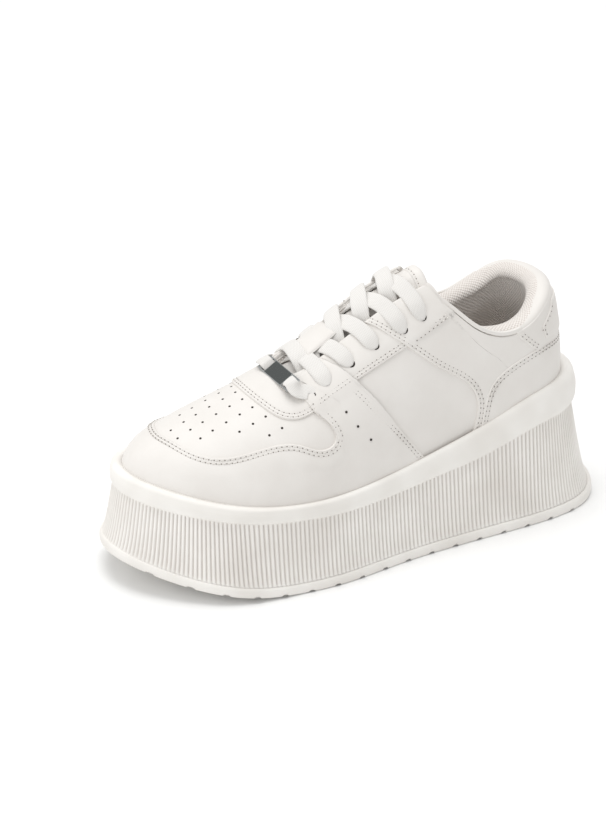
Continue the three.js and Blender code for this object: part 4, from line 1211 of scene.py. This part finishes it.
def makeTongue():
    # a padded tab under the throat: its top end is folded over and sewn
    station = np.r_[np.linspace(tongue["top"], -24, 60), np.linspace(-24, tongue["front"], 110)[1:]][:, None]
    share = np.linspace(-1, 1, 71)[None, :]
    half = 25 + 4 * smoothStep(40, -30, station) - 5 * smoothStep(50, 61, station)
    half = half * np.sqrt(np.clip(1 - (1 - np.clip((station - tongue["top"]) / 5.5, 0, 1)) ** 2 * 0.22, 0, 1))
    side = np.where(share < 0, -1.0, 1.0)
    drop = dropAtHalf(station, side, np.abs(share) * half)
    flat, normal = skinPoint(station, drop), skinNormal(station, drop)
    fromTop = station - tongue["top"]
    edgeAway = np.minimum((1 - np.abs(share)) * half, fromTop)
    swell = smoothEdges(edgeAway, 2.2)
    gap = throatHalf(station) - 2.5
    crown = tongue["crown"] * smoothStep(1.15, 0.2, np.abs(share) * half / gap)
    band = 0.55 * smoothStep(7.4, 6.6, fromTop) - 0.35 * np.exp(-((fromTop - 5.6) / 0.45) ** 2)
    lift = -tongue["under"] - (1 - swell) * tongue["thick"] / 2 + crown + band
    low = -tongue["under"] - tongue["thick"] + (1 - swell) * tongue["thick"] / 2 + 0 * crown
    outer = flat + normal * lift[..., None]
    inner = flat + normal * low[..., None]
    uv = np.stack([station + 0 * share, share * half], -1)
    piece = makeSheet("tongue_pad", outer, inner, uv, replaces=("tongue",))
    k = int(np.argmin(np.abs(station[:, 0] - tongue["top"] - 5.6)))
    stitchPaths.append((outer[k, 4:-4], normal[k, 4:-4], 1, 1))


keeper = {"station": 23.5, "long": 16.5, "half": 8.6, "top": 3.5, "thick": 2.2}


def makeKeeper():
    # a puffed leather loop lying on the tongue between the first crossings
    run = np.linspace(-1, 1, 44)[:, None]
    share = np.linspace(-1, 1, 44)[None, :]
    station = keeper["station"] + run * keeper["long"] / 2
    across = share * keeper["half"]
    side = np.where(share < 0, -1.0, 1.0)
    drop = dropAtHalf(station + 0 * share, side, np.abs(across) + 0 * run)
    flat, normal = skinPoint(station + 0 * share, drop), skinNormal(station + 0 * share, drop)
    away = np.minimum((1 - np.abs(run)) * keeper["long"] / 2, (1 - np.abs(share)) * keeper["half"])
    swell = smoothEdges(away, 2.6)
    lift = keeper["top"] - keeper["thick"] * (1 - swell) * 0.6 - 0.5 * (1 - smoothEdges(away, 9))
    outer = flat + normal * lift[..., None]
    inner = flat + normal * (keeper["top"] - keeper["thick"] * 0.62 - keeper["thick"] * 0.4 * swell)[...,
                                                                                                     None]
    makeSheet("lace_keeper", outer, inner, replaces=("tongue_keeper",))


makeForefoot()
makeEyestay()
makeQuarter()
makeHeelSide()
makeCounter()
makeTab()
makeCollar()
makeTopline()
makeTongue()
makeKeeper()
print("upper done")


# A strand's lift over the skin by its share of the way, for strands that pass under and over,
# and the lift of its end at each row of eyelets.
lace = {"wide": 9.4, "thick": 2.3, "steps": 72,
        "parts": (0, 0.1, 0.2, 0.35, 0.5, 0.7, 0.85, 0.93, 1),
        "under": (-3.6, -2.6, -1.4, 0.0, 1.1, 1.8, 2.0, 1.7, 0.9),
        "over": (-3.4, -0.9, 1.6, 2.9, 3.0, 2.4, 2.1, 1.7, 0.9),
        "ends": (2.2, 2.2, 1.6, 1.6, 2.5, 2.5)}


def acrossPoint(station, across, lift):
    side = np.where(across < 0, -1.0, 1.0)
    drop = dropAtHalf(station, side, np.abs(across))
    return overSkin(station, drop, lift), skinNormal(station, drop)


def ribbon(centre, normal, wide, thick):
    # a flat oval carried along a path, its broad side square to the normals
    tangent = np.gradient(centre, axis=0)
    tangent /= np.linalg.norm(tangent, axis=-1, keepdims=True)
    sideways = np.cross(normal, tangent)
    sideways /= np.linalg.norm(sideways, axis=-1, keepdims=True)
    up = np.cross(tangent, sideways)
    turn = np.linspace(0, 2 * np.pi, 28, endpoint=False)
    flatX = np.sign(np.cos(turn)) * np.abs(np.cos(turn)) ** 0.72
    flatY = np.sign(np.sin(turn)) * np.abs(np.sin(turn)) ** 0.8
    ring = (centre[:, None] + sideways[:, None] * (flatX[None] * wide[:, None] / 2)[..., None]
            + up[:, None] * (flatY[None] * thick[:, None] / 2)[..., None])
    along = lengths(centre, 0)
    acrossUv = np.where(np.sin(turn) >= 0, flatX, 2 - flatX)[None] * 4.4 + 0 * along[:, None]
    return ring, np.stack([acrossUv, along[:, None] + 0 * acrossUv], -1) * 0.001


def strandPath(row, side):
    # from the throat under its own side's edge up over the other side, and down into the eyelet
    part = np.linspace(0, 1, lace["steps"])
    startStation = eyeletRows[row][0] + (-3.0 if row == 0 else 3.0)
    endStation, endAcross = eyeletRows[row + 1]
    station = startStation + (endStation - startStation) * part
    across = side * (-13.8 + (endAcross + 16.2) * part)
    knots = lace["under"] if side > 0 else lace["over"]
    lift = (curveThrough(lace["parts"], knots)(part)
            + (lace["ends"][row + 1] - 1.6) * smoothStep(0.7, 0.9, part))
    if row == 1:
        lift = lift - (1.5 if side > 0 else 2.7) * np.exp(-(across / 9.5) ** 4)
    end = np.clip((part - 0.87) / 0.13, 0, 1)
    wide = lace["wide"] * (np.sqrt(1 - 0.93 * end ** 2.4) + 0.025 * np.sin(part * 9 + row * 2 + side))
    thick = (lace["thick"] * (1 + 0.35 * np.exp(-((part - 0.89) / 0.07) ** 2))
             * (1 - 0.4 * smoothStep(0.18, 0.04, part)))
    centre, normal = acrossPoint(station, across, lift)
    return centre, normal, wide, thick


tag = {"long": 31.0, "wide": 9.4, "thick": 1.3, "bevel": 0.4, "at": (48.7, 4.6, 105.0), "lean": 0.56,
       "roll": -0.078,
       "slotLong": 2.8, "slotWide": 7.6, "slotIn": 3.9, "linerSag": 3.4}


def tagFrame():
    # leaning forward round Y, then rolled a little down to the outer side
    normal = np.array([math.sin(tag["lean"]), 0, math.cos(tag["lean"])])
    forward = np.cross((0, 1, 0), normal)
    sideways = np.array([0, math.cos(tag["roll"]), 0]) + normal * math.sin(tag["roll"])
    return forward, sideways, np.cross(forward, sideways)


def makeLaces():
    ribbons = [ribbon(*strandPath(row, side)) for row in range(5) for side in (1.0, -1.0)]
    # the lowest strand: beneath the tag, up through its slots, over its ends and down to the eyelets
    share = np.linspace(-1, 1, 130)
    endStation, endAcross = eyeletRows[0]
    reach = share * (endAcross + 2.4)
    away = np.abs(reach)
    slot = tag["long"] / 2 - tag["slotIn"] - tag["slotLong"]
    rise = -1.9 + 3.9 * smoothStep(slot - 0.4, slot + tag["slotLong"] + 0.2, away)
    _, sideways, normal = tagFrame()
    onTag = np.array(tag["at"]) + reach[:, None] * sideways + rise[:, None] * normal
    leave = smoothStep(tag["long"] / 2 - 1.5, tag["long"] / 2 + 5, away)[:, None]
    end = np.clip((np.abs(share) - 0.88) / 0.12, 0, 1)
    station = tag["at"][0] - 1.5 - (tag["at"][0] - 1.5 - endStation) * smoothStep(14, 25, away)
    beside = reach + tag["at"][1] * smoothStep(1, 0.6, np.abs(share))
    skin, skinUp = acrossPoint(station, beside, 2.9 - 1.2 * smoothStep(17, 25, away) - 0.8 * end ** 2)
    centre = onTag * (1 - leave) + skin * leave
    up = normal * (1 - leave) + skinUp * leave
    wide = (7.0 + 1.8 * smoothStep(tag["long"] / 2 - 0.5, tag["long"] / 2 + 3,
                                   away)) * np.sqrt(1 - 0.93 * end ** 2.4)
    ribbons.append(ribbon(centre, up, wide, lace["thick"] * 0.75 + 0 * share))
    points, faces, uvs, base = [], [], [], 0
    for rings, uv in ribbons:
        rows, columns = rings.shape[0] + 2, rings.shape[1]
        points.append(capped(rings).reshape(-1, 3))
        uvs.append(np.concatenate([uv[:1], uv, uv[-1:]]).reshape(-1, 2))
        faces.append(gridFaces(rows, columns, base, closeColumns=True))
        base += rows * columns
    makePiece("laces", np.concatenate(points), np.concatenate(faces), laceCloth,
              uv=np.concatenate(uvs),
              merge=0.001, replaces=("lace",))


def makeTag():
    # a bevelled plate with two slots; its flat face between them is a darker copy of the steel, a painted
    # dark reflection
    half, wide = tag["long"] / 2, tag["wide"] / 2
    slotFar = half - tag["slotIn"]
    slotNear = slotFar - tag["slotLong"]
    ys = [-half, -slotFar, -slotNear, slotNear, slotFar, half]
    xs = [-wide, -tag["slotWide"] / 2, tag["slotWide"] / 2, wide]
    mesh = bmesh.new()
    top = {}
    for layer, z in ((0, -tag["thick"] / 2), (1, tag["thick"] / 2)):
        for i, x in enumerate(xs):
            for j, y in enumerate(ys):
                top[layer, i, j] = mesh.verts.new((x, y, z))
    for i in range(3):
        for j in range(5):
            if i == 1 and j in (1, 3):
                for a, b, c, d in ((i, j, i + 1, j), (i + 1, j, i + 1, j + 1), (i + 1, j + 1, i, j + 1),
                                   (i, j + 1, i, j)):
                    mesh.faces.new((top[0, a, b], top[1, a, b], top[1, c, d], top[0, c, d]))
                continue
            mesh.faces.new([top[1, i, j], top[1, i + 1, j], top[1, i + 1, j + 1], top[1, i, j + 1]])
            mesh.faces.new([top[0, i, j + 1], top[0, i + 1, j + 1], top[0, i + 1, j], top[0, i, j]])
    for i in range(3):
        for j, flip in ((0, 1), (5, 0)):
            ring = [top[0, i, j], top[0, i + 1, j], top[1, i + 1, j], top[1, i, j]]
            mesh.faces.new(ring if flip else ring[::-1])
    for j in range(5):
        for i, flip in ((0, 0), (3, 1)):
            ring = [top[0, i, j], top[0, i, j + 1], top[1, i, j + 1], top[1, i, j]]
            mesh.faces.new(ring if flip else ring[::-1])
    bmesh.ops.recalc_face_normals(mesh, faces=mesh.faces)
    sharp = [e for e in mesh.edges if e.calc_face_angle(0) > 0.5]
    bmesh.ops.bevel(mesh, geom=sharp, offset=tag["bevel"], segments=3, affect="EDGES", profile=0.6)
    points = np.array([v.co for v in mesh.verts])
    faces = [[v.index for v in f.verts] for f in mesh.faces]
    mesh.free()
    forward, sideways, normal = tagFrame()
    centre = np.array(tag["at"])
    placed = centre + points[:, :1] * forward + points[:, 1:2] * sideways + points[:, 2:] * normal
    # painted reflection: the flat top faces between the slots take the darker copy of the steel
    flatTop = [len(face) == 4 and min(points[k][2] for k in face) > tag["thick"] / 2 - 0.01
               and max(abs(points[k][1]) for k in face) < slotNear + 0.1 for face in faces]
    piece = makePiece("lace_tag_plate", placed, faces, (steel, paintedReflectionSteel), merge=0.0,
                      replaces=("lace_tag",), faceMaterial=np.array(flatTop, int))
    for face in piece.data.polygons:
        face.use_smooth = False
    # the liner: a lens under the front edge, hanging in an arc from end to end, with a bright rim
    run = np.linspace(-1, 1, 61)
    arc = np.sqrt(1 - run ** 2) ** 1.3
    deepest = -tag["thick"] / 2 - tag["linerSag"] * arc
    for name, front, low, high, finish, slot in (
            ("tag_liner", 0.1, 1.0, 0.0, innerLeather, "leather"),
            ("tag_liner_rim", 0.45, 1.08, 0.9, steel, "tag_metal")):
        corners = [(wide - 1.6 + front, deepest * high - tag["thick"] * 0.3),
                   (wide - 0.5 + front, deepest * high - 0.3),
                   (wide - 0.5 + front, deepest * low - 0.3), (wide - 1.6 + front, deepest * low - 0.3)]
        ring = np.stack([centre + x * forward + (run * half * 0.96)[:, None] * sideways + z[:, None] * normal
                         for x, z in corners], 1)
        makePiece(name, capped(ring), gridFaces(len(run) + 2, 4, closeColumns=True), finish,
                  merge=0.005)


def discs(name, rows, radius, dish, sides):
    # small round dark dishes lying on the skin, at rows of station, drop and lift; their dark colour is
    # painted shade for the inside of each hole
    station, drop, lift = np.array(rows, float).T
    centre, normal = overSkin(station, drop, lift), skinNormal(station, drop)
    helper = np.where(np.abs(normal[:, :1]) < 0.8, (1.0, 0, 0), (0, 1.0, 0))
    first = np.cross(normal, helper)
    first /= np.linalg.norm(first, axis=-1, keepdims=True)
    second = np.cross(normal, first)
    turn = np.linspace(0, 2 * np.pi, sides, endpoint=False)
    circle = np.cos(turn)[None, :, None] * first[:, None] + np.sin(turn)[None, :, None] * second[:, None]
    rings = [centre[:, None] + circle * r * radius + normal[:, None] * h
             for r, h in ((0.02, -dish), (0.8, -dish), (1.0, 0.0), (0.9, -0.5 - dish), (0.02, -0.5 - dish))]
    makePiece(name, np.stack(rings, 1), manyGrids(len(station), len(rings), sides), hole, merge=0.05)


def makeStitches():
    # every seam's threads: short spindles end to end with a needle hole between each two, the hole a grey
    # dish of painted shade
    centres, ways, normals = [], [], []
    for path, normal, start, end in stitchPaths:
        along = lengths(path, 0)
        count = int((along[-1] - start - end) / stitch["pitch"])
        if count < 1:
            continue
        place = start + (np.arange(count) + 0.5) * (along[-1] - start - end) / count
        pick = lambda values, where: np.stack([np.interp(where, along, values[:, k]) for k in range(3)], -1)
        centres.append(pick(path, place))
        ways.append(pick(path, place + 0.5) - pick(path, place - 0.5))
        normals.append(pick(normal, place))
    centre, way, normal = (np.concatenate(v) for v in (centres, ways, normals))
    way /= np.linalg.norm(way, axis=-1, keepdims=True)
    normal /= np.linalg.norm(normal, axis=-1, keepdims=True)
    sideways = np.cross(normal, way)
    run = np.linspace(-1, 1, 7)
    turn = np.linspace(0, 2 * np.pi, 6, endpoint=False)
    fat = np.sqrt(np.clip(1 - run ** 2, 0, 1)) ** 0.6
    shape = (run[:, None, None] * stitch["long"] / 2 * way[:, None, None]
             + (fat[:, None] * np.cos(turn) * stitch["wide"] / 2)[..., None] * sideways[:, None, None]
             + (fat[:, None] * np.sin(turn) * stitch["wide"] / 2 - 0.55 * run[:, None] ** 2 + 0.02)[..., None]
             * normal[:, None, None])
    points = centre[:, None, None] + shape
    faces = manyGrids(len(centre), len(run), len(turn))
    makePiece("stitches", points, faces, thread, merge=0.005)
    # painted shade: each needle hole is a small grey dish, not an opening
    holeAt = centre + way * stitch["pitch"] / 2
    ring = (np.cos(turn)[None, :, None] * way[:, None] * 1.25 + np.sin(turn)[None, :, None] * sideways[:,
                                                                                                       None])
    rings = np.stack([holeAt[:, None] + ring * stitch["hole"] * r + normal[:, None] * h
                      for r, h in ((0.03, 0.16), (0.7, 0.15), (1.0, -0.05), (0.03, -0.2))], 1)
    faces = manyGrids(len(centre), 4, len(turn))
    makePiece("needle_holes", rings, faces, needle, merge=0.005)


# Rows of holes across the vamp, bowed back at their ends: the middle's station and the holes a side.
# The holes on each side of the foot are rows of station and height.
vamp = {"rows": [(70.5, 4), (78.0, 4), (86.0, 3), (94.0, 2), (101.3, 2), (109.4, 1)], "first": 4.0,
        "pitch": 8.2,
        "middle": 0.3, "bow": 0.0135, "lift": 0.02, "radius": 0.7, "dish": -0.04, "sideLift": 1.42,
        "sideHoles": [(24.5, 89.4), (19.5, 81.5), (12.8, 73.2)]}


def makePerforations():
    rows = []
    for middle, count in vamp["rows"]:
        for k in range(count):
            for side in (1.0, -1.0):
                away = vamp["first"] + vamp["pitch"] * k
                station = middle - vamp["bow"] * away ** 2
                off = vamp["middle"] + side * away - float(spineY(station))
                drop = float(dropAtHalf(station, math.copysign(1, off), abs(off)))
                rows.append((station, drop, vamp["lift"]))
    for side in (1.0, -1.0):
        for station, height in vamp["sideHoles"]:
            rows.append((station, float(dropAtHeight(station, side, height)), vamp["sideLift"]))
    discs("perforations", rows, vamp["radius"], vamp["dish"], 14)


eyelet = {"back": 0.4, "out": 1.8, "lifts": (2.2, 2.2, 1.52, 1.52, 2.5, 2.5), "radius": 2.1, "dish": -0.05}


def makeEyelets():
    # a dark disc under each lace end, painted shade for the punched hole's inside
    rows = [(station - eyelet["back"], float(dropAtHalf(station, side, out + eyelet["out"])), lift)
            for side in (1.0, -1.0) for (station, out), lift in zip(eyeletRows, eyelet["lifts"])]
    discs("eyelet_holes", rows, eyelet["radius"], eyelet["dish"], 22)


makeLaces()
makeTag()
makePerforations()
makeEyelets()
makeStitches()
print("details done")

ground = {"half": 3.0, "colour": (0.9, 0.9, 0.895)}


def makeFloor():
    mesh = bpy.data.meshes.new("floor")
    half = ground["half"]
    mesh.from_pydata([(-half, -half, 0), (half, -half, 0), (half, half, 0), (-half, half, 0)], [],
                     [(0, 1, 2, 3)])
    shader = Shader("paleFloor", Roughness=0.9)
    shader.put(shader.surface, {"Specular IOR Level": 0.1})
    mesh.materials.append(shader.finish(Base_Color=ground["colour"]))
    floor = bpy.data.objects.new("floor", mesh)
    bpy.context.collection.objects.link(floor)


makeFloor()
